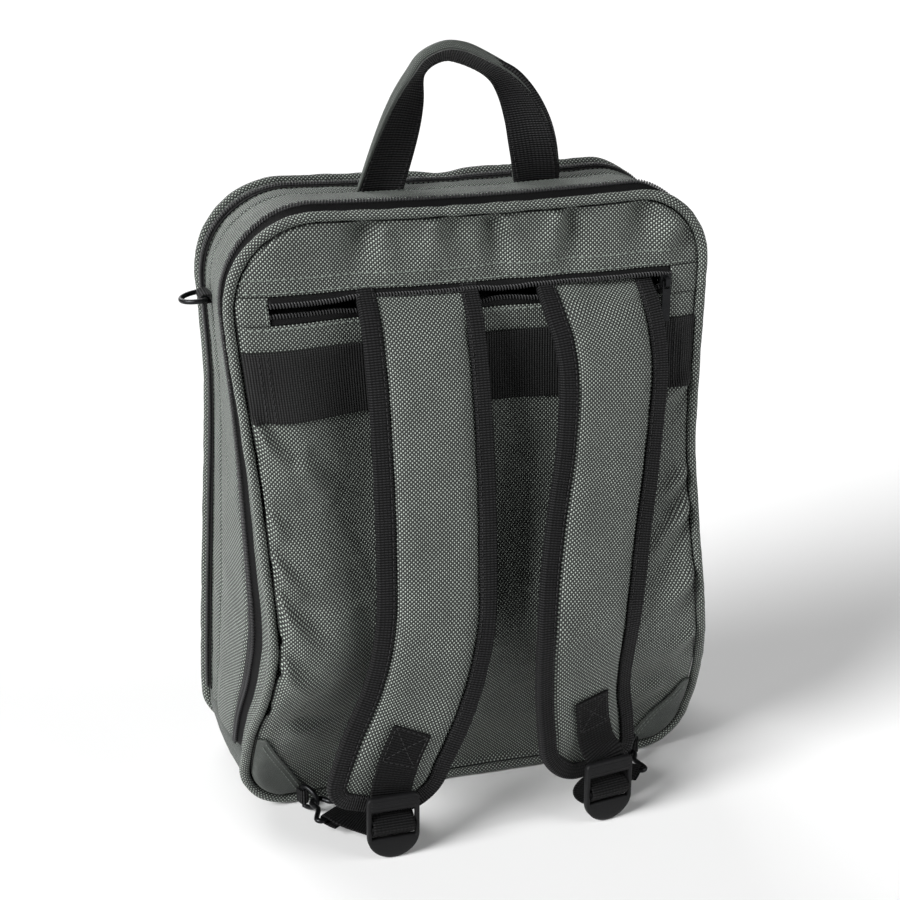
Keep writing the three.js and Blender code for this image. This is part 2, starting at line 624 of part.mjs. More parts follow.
function makeStrap(name, strap) {
  const { frame, length } = strapCourse(strap);
  const rounds = strap.side < 0 ? [PAD_OUTER_ROUND, PAD_INNER_ROUND] : [PAD_INNER_ROUND, PAD_OUTER_ROUND];
  const trim = BINDING + GAP;
  const at = (s, q, h) => {
    const f = frame(s);
    return f.middle.clone().addScaledVector(f.across, q).addScaledVector(f.out, h);
  };
  const body = length - trim;
  const sides = [0, 8, 16, 24, 34, ...levels(48, body - 46, 9), body - 34, body - 24, body - 16];
  const steps = [...sides, body - 10, body - 5, body - 2, body];
  const pad = steps.map((s) => {
    const left = padHalf(s, body, rounds[0] - trim) - trim - PAD_TUCK;
    const right = padHalf(s, body, rounds[1] - trim) - trim - PAD_TUCK;
    const full = ramp(s, 22, 60) * ramp(body - s, 10, 34);
    const front = PAD_RIM + (PAD_FRONT - PAD_RIM) * full;
    const rear = PAD_RIM + (PAD_BACK - PAD_RIM) * full;
    const rim = Math.min(BINDING_WIDTH, left * 0.4);
    const slope = Math.min(8, left * 0.3);
    return [
      [-left, PAD_RIM], [-left + rim, PAD_RIM], [-left + rim + slope, front], [right - rim - slope, front],
      [right - rim, PAD_RIM], [right, PAD_RIM], [right, -PAD_RIM], [right - rim, -PAD_RIM],
      [right - rim - slope, -rear], [-left + rim + slope, -rear], [-left + rim, -PAD_RIM], [-left, -PAD_RIM],
    ].map(([q, h]) => at(s, q, h));
  });
  add(`strap_pad_${name}`, loft(pad), FABRIC);

  const edge = [];
  const straightSide = (round, sign) => sides.filter((s) => s < body - round)
    .map((s) => ({ s, q: sign * (PAD_WIDTH / 2 - trim), ds: 0, dq: sign }));
  edge.push(...straightSide(rounds[0], -1));
  const turnCorner = (round, sign) => {
    const r = round - trim;
    const out = [];
    for (let i = 0; i <= 4; i += 1) {
      const angle = i / 4 * Math.PI / 2;
      out.push({
        s: body - r + r * Math.sin(angle), q: sign * (PAD_WIDTH / 2 - trim - r + r * Math.cos(angle)),
        ds: Math.sin(angle), dq: sign * Math.cos(angle),
      });
    }
    return out;
  };
  edge.push(...turnCorner(rounds[0], -1), ...turnCorner(rounds[1], 1).reverse());
  edge.push(...straightSide(rounds[1], 1).reverse());
  const inner = PAD_RIM + GAP;
  const outer = inner + BINDING;
  const lap = BINDING_WIDTH - trim - 1;
  const wrap = [
    [-lap, outer], [trim * 0.6, outer], [trim, 0], [trim * 0.6, -outer], [-lap, -outer],
    [-lap, -inner], [GAP, -inner], [GAP, inner], [-lap, inner],
  ];
  const binding = edge.map((e) => wrap.map(([reach, h]) => at(e.s + e.ds * reach, e.q + e.dq * reach, h)));
  add(`strap_binding_${name}`, loft(binding), WEB);
  makeLock(name, at, body);
}

// A flat woven length along stations that give its middle and its across direction
function ribbon(stations, width, thick) {
  const rings = stations.map((station, i) => {
    const before = stations[Math.max(0, i - 1)].at;
    const after = stations[Math.min(stations.length - 1, i + 1)].at;
    const along = new THREE.Vector3().subVectors(after, before).normalize();
    const across = station.across.clone().addScaledVector(along, -station.across.dot(along)).normalize();
    const out = new THREE.Vector3().crossVectors(along, across);
    return [[-1, 1], [1, 1], [1, -1], [-1, -1]].map(([q, h]) => station.at.clone()
      .addScaledVector(across, q * width / 2).addScaledVector(out, h * thick / 2));
  });
  return loft(rings, false, pairedCap);
}

// A bent wire that closes on itself, round a middle line that lies in one plane
function wireLoop(points, normal, radius, sides) {
  const rings = points.map((p, i) => {
    const before = points[(i + points.length - 1) % points.length];
    const after = points[(i + 1) % points.length];
    const along = new THREE.Vector3().subVectors(after, before).normalize();
    const inPlane = new THREE.Vector3().crossVectors(along, normal);
    return levels(0, 1 - 1 / sides, sides - 1).map((turn) => p.clone()
      .addScaledVector(inPlane, radius * Math.cos(turn * Math.PI * 2))
      .addScaledVector(normal, radius * Math.sin(turn * Math.PI * 2)));
  });
  return loft(rings, true);
}

function lockOutline() {
  const half = LOCK_WIDTH / 2;
  const shoulder = LOCK_FOOT_ROUND;
  const shape = new THREE.Shape();
  shape.moveTo(-half, shoulder);
  shape.absellipse(0, shoulder, half, shoulder, Math.PI, Math.PI * 2, false);
  shape.lineTo(half, LOCK_HEIGHT - LOCK_CORNER);
  shape.absarc(half - LOCK_CORNER, LOCK_HEIGHT - LOCK_CORNER, LOCK_CORNER, 0, Math.PI / 2, false);
  shape.absarc(LOCK_CORNER - half, LOCK_HEIGHT - LOCK_CORNER, LOCK_CORNER, Math.PI / 2, Math.PI, false);
  shape.closePath();
  const slot = (low, high) => {
    const reach = WEBBING_WIDTH / 2 + LOCK_SLOT_SIDE;
    const hole = new THREE.Path();
    hole.moveTo(-reach, low);
    hole.lineTo(reach, low);
    hole.lineTo(reach, high);
    hole.lineTo(-reach, high);
    hole.closePath();
    return hole;
  };
  shape.holes.push(slot(LOCK_LOWER_SLOT, LOCK_BAR - LOCK_BAR_HALF), slot(LOCK_BAR + LOCK_BAR_HALF, LOCK_UPPER_SLOT));
  return shape;
}

// The webbing tab on the pad's foot, the ladder lock it carries, the adjusting webbing threaded
// over the lock's middle bar, and the hook and ring that anchor it at the bag's lower corner
function makeLock(name, at, body) {
  const place = LOCKS[name];
  const side = name === 'left' ? -1 : 1;
  const lock = add(`buckle_${name}`, new THREE.ExtrudeGeometry(lockOutline(), {
    depth: LOCK_THICK, bevelEnabled: false, curveSegments: 6,
  }).rotateX(Math.PI / 2), PLASTIC);
  lock.rotation.z = place.turn * Math.PI / 180;
  lock.position.set(place.across * WIDTH / 2, -place.ahead * DEPTH, LOCK_FOOT);
  lock.updateMatrixWorld();
  const local = (x, y, z) => new THREE.Vector3(x, y, z).applyMatrix4(lock.matrixWorld);
  const lockAcross = local(1, 0, 0).sub(local(0, 0, 0));

  const padAcross = at(body - 40, 1, 0).sub(at(body - 40, 0, 0));
  const behind = GAP + WEBBING / 2;
  const tabTop = PAD_FRONT + behind + GAP * 2;
  const tabFoot = local(0, behind + GAP * 2, LOCK_UPPER_SLOT + 1);
  const tabJoin = local(0, behind + GAP * 2, LOCK_HEIGHT);
  add(`tab_${name}`, ribbon([
    { at: at(body - 56, 0, tabTop), across: padAcross },
    { at: at(body - 38, 0, tabTop), across: padAcross },
    { at: at(body - 26, 0, tabTop).lerp(tabJoin, 0.25), across: padAcross.clone().lerp(lockAcross, 0.5) },
    { at: tabJoin, across: lockAcross },
    { at: tabFoot, across: lockAcross },
  ], WEBBING_WIDTH, WEBBING), WEB);

  const ringAt = new THREE.Vector3(side * RING_ACROSS, -RING_AHEAD, RING_HEIGHT);
  const pull = local(0, 5, LOCK_LOWER_SLOT - 3).sub(ringAt).setZ(0).normalize();
  const beside = new THREE.Vector3(-pull.y, pull.x, 0);
  const up = new THREE.Vector3(0, 0, 1);
  const fromRing = (d, p, z) => ringAt.clone().addScaledVector(pull, d).addScaledVector(beside, p).addScaledVector(up, z);
  const bar = RING_BAR / 2;
  const ringLine = [[-5, -bar], [-5, 0], [-5, bar]];
  for (let i = 1; i < 8; i += 1) {
    const angle = Math.PI / 2 - i / 8 * Math.PI;
    ringLine.push([-4 + RING_REACH * Math.cos(angle), bar * Math.sin(angle)]);
  }
  add(`corner_ring_${name}`, wireLoop(ringLine.map(([d, z]) => fromRing(d, 0, z)), beside, RING_WIRE, 6), GUNMETAL);

  const loopWidth = RING_BAR - 2 * RING_WIRE - 2;
  const round = RING_WIRE + GAP + WEBBING / 2;
  const bent = round * Math.SQRT1_2;
  const corner = [[-9.5, -1.1], [-7.5, -1.8], [-5, -round], [-5 + bent, -bent], [-5 + round, 0],
    [-5 + bent, bent], [-5, round], [-7.5, 1.8], [-9.5, 1.1]];
  add(`corner_loop_${name}`, ribbon(corner.map(([d, p]) => ({ at: fromRing(d, p, 0), across: up })),
    loopWidth, WEBBING), WEB);

  const nose = RING_REACH - 4 - RING_WIRE - HOOK_WIRE - GAP;
  const hookBar = nose + HOOK_LENGTH;
  const wide = WEBBING_WIDTH / 2 + HOOK_WIRE + LOCK_SLOT_SIDE;
  const hookLine = [
    [nose, 0], [nose + 1.3, 3.2], [nose + 4.5, 4.5], [nose + 9, 5.5], [hookBar - 3, wide],
    [hookBar, wide - 1], [hookBar, 0], [hookBar, 1 - wide],
    [hookBar - 3, -wide], [nose + 9, -5.5], [nose + 4.5, -4.5], [nose + 1.3, -3.2],
  ];
  add(`hook_${name}`, wireLoop(hookLine.map(([d, p]) => fromRing(d, p, 0)), up, HOOK_WIRE, 6), GUNMETAL);

  const curl = HOOK_WIRE + GAP + WEBBING / 2;
  const wrap = [[9, -curl + 0.2], [3, -curl], [-curl * 0.7, -curl * 0.75], [-curl, 0], [-curl * 0.7, curl * 0.75],
    [2, curl], [10, curl - 1]].map(([d, z]) => ({ at: fromRing(hookBar + d, 0, z), across: beside }));
  const threaded = [
    [15, LOCK_LOWER_SLOT - 3.5], [6, LOCK_LOWER_SLOT - 2.5], [1.9, LOCK_LOWER_SLOT + 0.6],
    [-2.2, LOCK_LOWER_SLOT + 3.4],
    [-5.3, LOCK_BAR - 2.3], [-6.1, LOCK_BAR], [-5.3, LOCK_BAR + 2.3], [-2.2, LOCK_BAR + 5.4],
    [1.2, LOCK_BAR + 6.6],
  ].map(([y, z]) => ({ at: local(0, y, z), across: lockAcross }));
  add(`adjusting_webbing_${name}`, ribbon([...wrap, ...threaded], WEBBING_WIDTH, WEBBING), WEB);
}

// A triangle of fabric over each lower corner of the back panel, its inner edge straight from tip to foot
function makeWings() {
  for (const [name, side] of [['left', -1], ['right', 1]]) {
    const span = (z) => {
      const edge = panelEdge(side, z, PANEL_INSET + GAP);
      const share = (z - WING_LOW) / (WING_HEIGHT - WING_LOW);
      const inner = side * (WING_FOOT + (WING_TIP - WING_FOOT) * share);
      return side < 0 ? [edge, inner] : [inner, edge];
    };
    add(`wing_${name}`, sheet(backFace, levels(WING_LOW, WING_HEIGHT, 5), span, 3,
      -GAP - WING_LIFT - WING_THICK, -GAP - WING_LIFT), FABRIC);
  }
}

// The carrying handle: a fabric strip outside, webbing inside, folded softly along its middle.
// Its feet stand in the seam over the top and its grip twists so that it lies across the hand.
function makeHandle() {
  const edgePoint = (x, z, y) => {
    const across = HANDLE_START + HANDLE_SPAN * x;
    const foot = settled(across, HANDLE_SEAM_Y, HEIGHT - GUSSET_RECESS).z + GAP;
    return new THREE.Vector3(across, HANDLE_SEAM_Y + HANDLE_WIDTH * y, foot + HANDLE_RISE * z);
  };
  const outer = new THREE.CatmullRomCurve3(HANDLE.map((row) => edgePoint(row.x, row.z, row.y)));
  const inner = new THREE.CatmullRomCurve3(HANDLE.map((row) => edgePoint(row.inX, row.inZ, row.inY)));
  const frames = levels(0, 1, HANDLE_STEPS).map((t) => {
    const a = outer.getPoint(t);
    const b = inner.getPoint(t);
    const along = outer.getTangent(t).add(inner.getTangent(t)).normalize();
    const across = new THREE.Vector3().subVectors(a, b);
    const middle = new THREE.Vector3().addVectors(a, b).multiplyScalar(0.5);
    const out = new THREE.Vector3().crossVectors(along, across).normalize();
    across.normalize();
    const crease = HANDLE_CREASE * (1 - 0.5 * Math.sin(Math.PI * t));
    return { middle, across, out, crease };
  });
  const layer = (near, far) => loft(frames.map((f) => {
    const half = HANDLE_WIDTH / 2;
    return [[-half, near], [0, near - f.crease], [half, near], [half, far], [0, far - f.crease], [-half, far]]
      .map(([q, h]) => f.middle.clone().addScaledVector(f.across, q).addScaledVector(f.out, h));
  }), false, pairedCap);
  add('handle_webbing', layer(HANDLE_LINING + GAP / 2, GAP / 2), WEB);
  add('handle_fabric', layer(-GAP / 2 - HANDLE_FABRIC, -GAP / 2), FABRIC);
}

// A ring for a long strap on a webbing loop in each side seam
function makeSideRings() {
  for (const [name, side] of [['left', -1], ['right', 1]]) {
    const wall = settled(side * (WIDTH / 2 - GUSSET_RECESS), HANDLE_SEAM_Y, SIDE_RING_HEIGHT);
    const from = (out, y, z) => wall.clone().add(new THREE.Vector3(side * out, y, z));
    const round = RING_WIRE + GAP + WEBBING / 2;
    const barAt = 2.5 + round;
    const line = [[0.9, round * 0.8], [barAt, round], [barAt + round * 0.75, round * 0.7], [barAt + round, 0],
      [barAt + round * 0.75, -round * 0.7], [barAt, -round], [0.9, -round * 0.8]];
    add(`side_loop_${name}`, ribbon(line.map(([out, z]) => ({ at: from(out, 0, z), across: new THREE.Vector3(0, 1, 0) })),
      SIDE_LOOP_WIDTH, WEBBING), WEB);
    const half = SIDE_RING_WIDTH / 2;
    const ring = [[barAt, -half], [barAt, 0], [barAt, half]];
    for (let i = 1; i < 8; i += 1) {
      const angle = Math.PI / 2 - i / 8 * Math.PI;
      ring.push([barAt + 1 + SIDE_RING_REACH * Math.cos(angle), half * Math.sin(angle)]);
    }
    const droop = SIDE_RING_DROOP;
    add(`side_ring_${name}`, wireLoop(ring.map(([out, y]) => from(out, y, -(out - barAt) * droop)),
      new THREE.Vector3(side * droop, 0, 1).normalize(), RING_WIRE, 6), GUNMETAL);
  }
}

function solidOf(geometry) {
  const bare = geometry.clone();
  bare.deleteAttribute('normal');
  bare.deleteAttribute('uv');
  const merged = mergeVertices(bare);
  return new wasm.Manifold(new wasm.Mesh({
    numProp: 3,
    vertProperties: new Float32Array(merged.attributes.position.array),
    triVerts: new Uint32Array(merged.index.array),
  }));
}

function geometryOf(solid) {
  const mesh = solid.getMesh();
  const geometry = new THREE.BufferGeometry();
  geometry.setAttribute('position', new THREE.Float32BufferAttribute(mesh.vertProperties, 3));
  geometry.setIndex(Array.from(mesh.triVerts));
  geometry.computeVertexNormals();
  return geometry;
}

// A flat outline in the YZ plane with a width along X, centred on x = 0
function slab(outline, width, hole) {
  const shape = new THREE.Shape(outline.map(([y, z]) => new THREE.Vector2(y, z)));
  if (hole) shape.holes.push(new THREE.Path(hole.map(([y, z]) => new THREE.Vector2(y, z))));
  const geometry = new THREE.ExtrudeGeometry(shape, { depth: width, bevelEnabled: false });
  geometry.translate(0, 0, -width / 2);
  return geometry.applyMatrix4(new THREE.Matrix4().makeBasis(
    new THREE.Vector3(0, 1, 0), new THREE.Vector3(0, 0, 1), new THREE.Vector3(1, 0, 0)));
}

// The pocket's slider stands at the closed end of the slot. Its puller hangs on the bridge.
function makeSlider() {
  const z = (SLOT_LOW + SLOT_HIGH) / 2;
  const end = backFace(SLOT_HALF, z);
  const x = end.x - SLIDER_WIDTH / 2 - GAP;
  const y = end.y - SLIDER_PROUD;
  const tall = SLIDER_HEIGHT / 2;
  const block = slab([[0, -tall], [0, tall], [SLIDER_THICK, tall], [SLIDER_THICK, -tall]], SLIDER_WIDTH);
  const crown = -BRIDGE_OPENING - BRIDGE;
  const reach = BRIDGE_HALF;
  const arch = slab([[0.5, -reach], [0.5, reach], [crown + 0.8, reach], [crown, reach - 1], [crown, 1 - reach],
    [crown + 0.8, -reach]], BRIDGE_WIDTH,
  [[-0.01, BRIDGE - reach], [-0.01, reach - BRIDGE], [-BRIDGE_OPENING, reach - BRIDGE],
    [-BRIDGE_OPENING, BRIDGE - reach]]);
  const slider = add('pocket_slider', geometryOf(solidOf(block).add(solidOf(arch))), GUNMETAL);
  slider.position.set(x, y, z);

  const plate = new THREE.Shape();
  const half = PULLER_WIDTH / 2;
  plate.moveTo(-half, PULLER_BAR);
  plate.lineTo(-half, PULLER_BEVEL - PULLER_LENGTH);
  plate.lineTo(PULLER_BEVEL - half, -PULLER_LENGTH);
  plate.lineTo(half - PULLER_BEVEL, -PULLER_LENGTH);
  plate.lineTo(half, PULLER_BEVEL - PULLER_LENGTH);
  plate.lineTo(half, PULLER_BAR);
  const eye = new THREE.Path();
  const eyeHalf = BRIDGE_WIDTH / 2 + 0.4;
  eye.moveTo(-eyeHalf, -PULLER_BAR);
  eye.lineTo(eyeHalf, -PULLER_BAR);
  eye.lineTo(eyeHalf, -PULLER_EYE);
  eye.lineTo(-eyeHalf, -PULLER_EYE);
  plate.holes.push(eye);
  const geometry = new THREE.ExtrudeGeometry(plate, { depth: PULLER_BAR * 2, bevelEnabled: false });
  const puller = add('pocket_puller', geometry.translate(0, 0, -PULLER_BAR).rotateX(Math.PI / 2), GUNMETAL);
  puller.position.set(x, y - BRIDGE_OPENING / 2, z);
}

// The sliders of the two long zips rest low on the far side, each with its puller hanging down
function makeFarSliders() {
  for (const [name, y] of [['back', BACK_ZIP_Y], ['front', FRONT_ZIP_Y]]) {
    const seat = settled(WIDTH / 2 - GUSSET_RECESS + COIL_RISE - 0.5, y, FAR_SLIDER_HEIGHT);
    const low = FAR_SLIDER_HALF - 1 - PULLER_LENGTH;
    const front = FAR_SLIDER_FRONT;
    const back = front - 2 * PULLER_BAR;
    const outline = [[0, -FAR_SLIDER_HALF], [0, FAR_SLIDER_HALF], [SLIDER_THICK + 0.8, FAR_SLIDER_HALF - 1],
      [front, FAR_SLIDER_HALF - 2], [front, low], [back, low], [back, 0.5 - FAR_SLIDER_HALF],
      [SLIDER_THICK, -FAR_SLIDER_HALF]];
    const geometry = slab(outline, PULLER_WIDTH).rotateZ(-Math.PI / 2);
    const far = add(`${name}_zip_slider`, geometry, GUNMETAL);
    far.position.set(seat.x + FAR_SLIDER_CLEAR, seat.y, seat.z);
  }
}

makeShellRuns();
makePanels();
makePocket();
makeStrap('left', STRAPS.left);
makeStrap('right', STRAPS.right);
makeWings();
makeHandle();
makeSideRings();
makeSlider();
makeFarSliders();

export default pack;
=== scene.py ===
# %% [markdown]
# A small convertible backpack stands on its base, stuffed so that its back panel bellies out.
# The solids of the library part give every place and size. This lesson dresses them in finer
# cloth, webbing and zips, each piece built in the same frame, in metres.

# %% Open the frame
import bpy
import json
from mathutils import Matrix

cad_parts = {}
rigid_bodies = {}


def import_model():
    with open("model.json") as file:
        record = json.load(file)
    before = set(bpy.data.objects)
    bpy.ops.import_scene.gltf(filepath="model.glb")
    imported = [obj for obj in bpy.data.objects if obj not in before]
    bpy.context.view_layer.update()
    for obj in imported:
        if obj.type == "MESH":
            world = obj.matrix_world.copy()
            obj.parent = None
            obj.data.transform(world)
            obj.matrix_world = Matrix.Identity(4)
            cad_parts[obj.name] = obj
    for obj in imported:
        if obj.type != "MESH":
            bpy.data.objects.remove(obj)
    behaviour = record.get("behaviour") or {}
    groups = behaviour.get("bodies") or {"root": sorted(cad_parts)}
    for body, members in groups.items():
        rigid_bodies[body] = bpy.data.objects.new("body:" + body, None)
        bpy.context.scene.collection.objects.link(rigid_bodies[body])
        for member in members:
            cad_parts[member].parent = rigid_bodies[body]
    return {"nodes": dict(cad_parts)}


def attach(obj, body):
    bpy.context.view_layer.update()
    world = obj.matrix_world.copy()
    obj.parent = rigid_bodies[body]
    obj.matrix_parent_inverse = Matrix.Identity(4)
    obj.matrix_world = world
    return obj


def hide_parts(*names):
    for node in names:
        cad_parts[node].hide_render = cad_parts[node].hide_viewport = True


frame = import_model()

bpy.context.view_layer.update()

import json
import math
import numpy as np
from mathutils import Vector

# %% [markdown]
# The photograph was taken from a little to the wearer's left and about 20 degrees above the
# floor. The camera goes first, because every later crop is compared through it.

# %% Camera
CAMERA_AT = (-0.30476, -1.01127, 0.60938)
CAMERA_AIM = (0.00152, 0.0, 0.2040)
CAMERA_ROLL = math.radians(0.29)
CAMERA_LENS, SENSOR_WIDTH = 72.84, 36
camera = bpy.data.objects.new("camera", bpy.data.cameras.new("camera"))
bpy.context.scene.collection.objects.link(camera)
bpy.context.scene.camera = camera
camera.data.sensor_width = SENSOR_WIDTH
camera.data.lens = CAMERA_LENS
camera.location = CAMERA_AT
look = (Vector(CAMERA_AIM) - Vector(CAMERA_AT)).to_track_quat("-Z", "Y")
camera.rotation_euler = look.to_euler()
camera.rotation_euler.rotate_axis("Z", CAMERA_ROLL)
print("camera stands", round((Vector(CAMERA_AIM) - Vector(CAMERA_AT)).length, 3), "m away")

# %% [markdown]
# Sizes of the real bag in millimetres, the same as the solids were made from.

# %% Named sizes
MM = 0.001
WIDTH, HEIGHT, DEPTH = 289.0, 370.0, 95.0
CORNER_TOP_LEFT, CORNER_TOP_RIGHT, CORNER_BOTTOM = 56.0, 44.0, 30.0
CLOTH, GAP, PIPING_RADIUS, GUSSET_RECESS, SEAM_HEIGHT = 2.0, 0.3, 3.0, 0.8, 45.0
BELLY_FORWARD, BELLY_INWARD, BELLY_REACH = 49.0, 13.0, 0.8
PANEL_CROWN, FRONT_CROWN, CROWN_RISE, SIDE_SWELL, TOP_SAG, NOTCH_DEPTH = 5.0, 7.0, 45.0, 5.0, 2.5, 5.0
BACK_ZIP_Y, FRONT_ZIP_Y, HANDLE_SEAM_Y, ZIP_TAPE_WIDTH = -30.0, 33.0, 12.0, 11.0
SLOT_LOW, SLOT_HIGH, SLOT_HALF, SLOT_TAPE = 311.0, 327.0, 121.8, 3.4
LINING_DROP, LINING_DEPTH, LINING_RISE, LINING_CLEAR = 75.0, 19.5, 13.6, 1.6
BAND_LOW, BAND_HEIGHT, BAND_THICK = 256.5, 40.0, 1.3
PAD_WIDTH, PAD_FRONT, PAD_BACK, PAD_RIM = 72.0, 5.5, 3.0, 1.2
BINDING_WIDTH, BINDING = 12.0, 1.2
PAD_OUTER_ROUND, PAD_INNER_ROUND = 16.0, 32.0
WEBBING_WIDTH, WEBBING = 25.0, 1.2
BASE = PIPING_RADIUS + GAP
PANEL_INSET = PIPING_RADIUS + GAP * 3
print("body:", WIDTH, "by", HEIGHT, "by", DEPTH, "mm")

# %% [markdown]
# A stuffed bag isn't a box. Two short tables say how far the full back panel comes forward and
# draws its edges in at each height, and how the side walls stand out or fall in. Heights are
# shares of the body's height, the other columns are shares of the named sizes above. Finer cloth
# bridges the notch in the far top edge, so only a share of its depth is left.

# %% The stuffed form
BELLY = {
    "height": (0, 0.08, 0.135, 0.19, 0.243, 0.29, 0.338, 0.38, 0.432, 0.486, 0.54, 0.6, 0.7, 0.81, 0.93, 1),
    "forward": (0, 0.13, 0.35, 0.56, 0.79, 0.93, 1, 0.96, 0.81, 0.66, 0.51, 0.38, 0.23, 0.09, 0, 0),
    "inward": (0, 0, 0.04, 0.2, 0.52, 0.75, 0.95, 1, 0.98, 0.93, 0.88, 0.81, 0.56, 0.26, 0.04, 0),
}
NOTCH_SHARE = 0.5
SWELL = {"height": (0, 0.1, 0.27, 0.42, 0.68, 0.86, 0.95, 1), "out": (0.1, 1, 0.6, 0, -0.9, -0.4, 0, 0)}

def read(table, column, at):
    """A column of a table at some heights, smoothly between its rows."""
    k = np.array(table["height"], float)
    v = np.array(table[column], float)
    if k[-1] < k[0]:
        k, v = k[::-1], v[::-1]
    x = np.clip(np.asarray(at, float), k[0], k[-1])
    i = np.clip(np.searchsorted(k, x, side="right") - 1, 0, len(k) - 2)
    before, after = np.maximum(i - 1, 0), np.minimum(i + 2, len(k) - 1)
    span = k[i + 1] - k[i]
    slope_a = (v[i + 1] - v[before]) / (k[i + 1] - k[before]) * span
    slope_b = (v[after] - v[i]) / (k[after] - k[i]) * span
    t = (x - k[i]) / span
    rise = v[i + 1] - v[i]
    return v[i] + t * (slope_a + t * (3 * rise - 2 * slope_a - slope_b + t * (slope_a + slope_b - 2 * rise)))

def ramp(v, low, high):
    t = np.clip((np.asarray(v, float) - low) / (high - low), 0, 1)
    return t * t * (3 - 2 * t)

def bump(d):
    return np.exp(-np.square(d))

def settled(x, y, z):
    """Where points of the plain box lie on the stuffed bag, in millimetres."""
    x, y, z = np.broadcast_arrays(np.asarray(x, float), np.asarray(y, float), np.asarray(z, float))
    share = np.clip((y + DEPTH / 2) / DEPTH, 0, 1)
    hold = np.maximum(0, 1 - share / BELLY_REACH)
    h, side = z / HEIGHT, x / (WIDTH / 2)
    forward = BELLY_FORWARD * read(BELLY, "forward", h) * hold
    inward = BELLY_INWARD * read(BELLY, "inward", h) * hold * hold
    swell = SIDE_SWELL * read(SWELL, "out", h) * ramp(share, 0, 0.5)
    sag = TOP_SAG * np.maximum(0, 1 - (side / 0.75) ** 2)
    notch = NOTCH_SHARE * NOTCH_DEPTH * bump((x / WIDTH - 0.03) / 0.045) * ramp(share, 0.75, 1)
    new_x = x - side * inward + side * np.abs(side) ** 3 * swell
    return np.stack([new_x, y - forward, z - ramp(h, 0.8, 1) * (sag + notch)], -1)

print("belly stands forward to y =", round(float(settled(0, -DEPTH / 2, 0.338 * HEIGHT)[1]), 1), "mm")

# %% [markdown]
# Cloth is never smooth. A small lattice noise with a fixed seed gives soft dents that are the
# same on every run, and ridges made from it read as creases.

# %% Soft noise for dents and creases
LATTICE = np.random.default_rng(7).uniform(-1, 1, (64, 64))

def soft_noise(u, v, size, shift=0.0):
    """Smooth noise from -1 to 1 over two coordinates, with dents about one size across."""
    u, v = np.broadcast_arrays(np.asarray(u, float) / size + 17.3 + shift,
                               np.asarray(v, float) / size + 9.1 + shift * 1.7)
    iu, iv = np.floor(u).astype(int), np.floor(v).astype(int)
    fu, fv = u - iu, v - iv
    fu, fv = fu * fu * (3 - 2 * fu), fv * fv * (3 - 2 * fv)
    at = lambda a, b: LATTICE[a % 64, b % 64]
    low = at(iu, iv) * (1 - fu) + at(iu + 1, iv) * fu
    high = at(iu, iv + 1) * (1 - fu) + at(iu + 1, iv + 1) * fu
    return low * (1 - fv) + high * fv

def crease(u, v, size, shift=0.0):
    """Narrow ridges from 0 to 1 where the noise crosses zero."""
    return np.maximum(0, 1 - np.abs(soft_noise(u, v, size, shift)) * 3.2) ** 2

# %% [markdown]
# Every cloth piece here is a loft: rings of points joined into quads. The helper also writes a
# UV map in millimetres, so that a weave keeps its real pitch wherever the cloth bends.

# %% Mesh helpers
def unit(vectors):
    return vectors / np.linalg.norm(vectors, axis=-1, keepdims=True)

def distance_along(points):
    """Millimetres from a path's first point to each of its points."""
    return np.concatenate([[0], np.cumsum(np.linalg.norm(np.diff(points, axis=0), axis=1))])

def picked(at, distance, rows):
    """A path's rows of values, read between its points at some distances along it."""
    return np.stack([np.interp(at, distance, rows[:, i]) for i in range(3)], -1)

def mesh_piece(name, points, quads, uvs, material, sharp=None):
    """A mesh object from points in millimetres, with its faces, their corner UVs and a material."""
    mesh = bpy.data.meshes.new(name)
    mesh.from_pydata((np.asarray(points) * MM).tolist(), [], quads)
    if uvs is not None:
        layer = mesh.uv_layers.new(name="millimetres")
        layer.data.foreach_set("uv", np.asarray(uvs, np.float32).ravel())
    mesh.materials.append(material)
    mesh.validate()
    mesh.shade_smooth()
    if sharp:
        mesh.set_sharp_from_angle(angle=math.radians(sharp))
    piece = bpy.data.objects.new(name, mesh)
    bpy.context.scene.collection.objects.link(piece)
    return piece

def ring_uv(rings):
    """Millimetres round each ring and along the rings, with one more column where the ring closes."""
    closed = np.concatenate([rings, rings[:, :1]], 1)
    round_it = np.cumsum(np.linalg.norm(np.diff(closed, axis=1), axis=2), 1).mean(0)
    along = np.cumsum(np.linalg.norm(np.diff(rings, axis=0), axis=2).mean(1))
    u = np.concatenate([[0], round_it])
    v = np.concatenate([[0], along])
    return np.stack(np.meshgrid(u, v), -1)

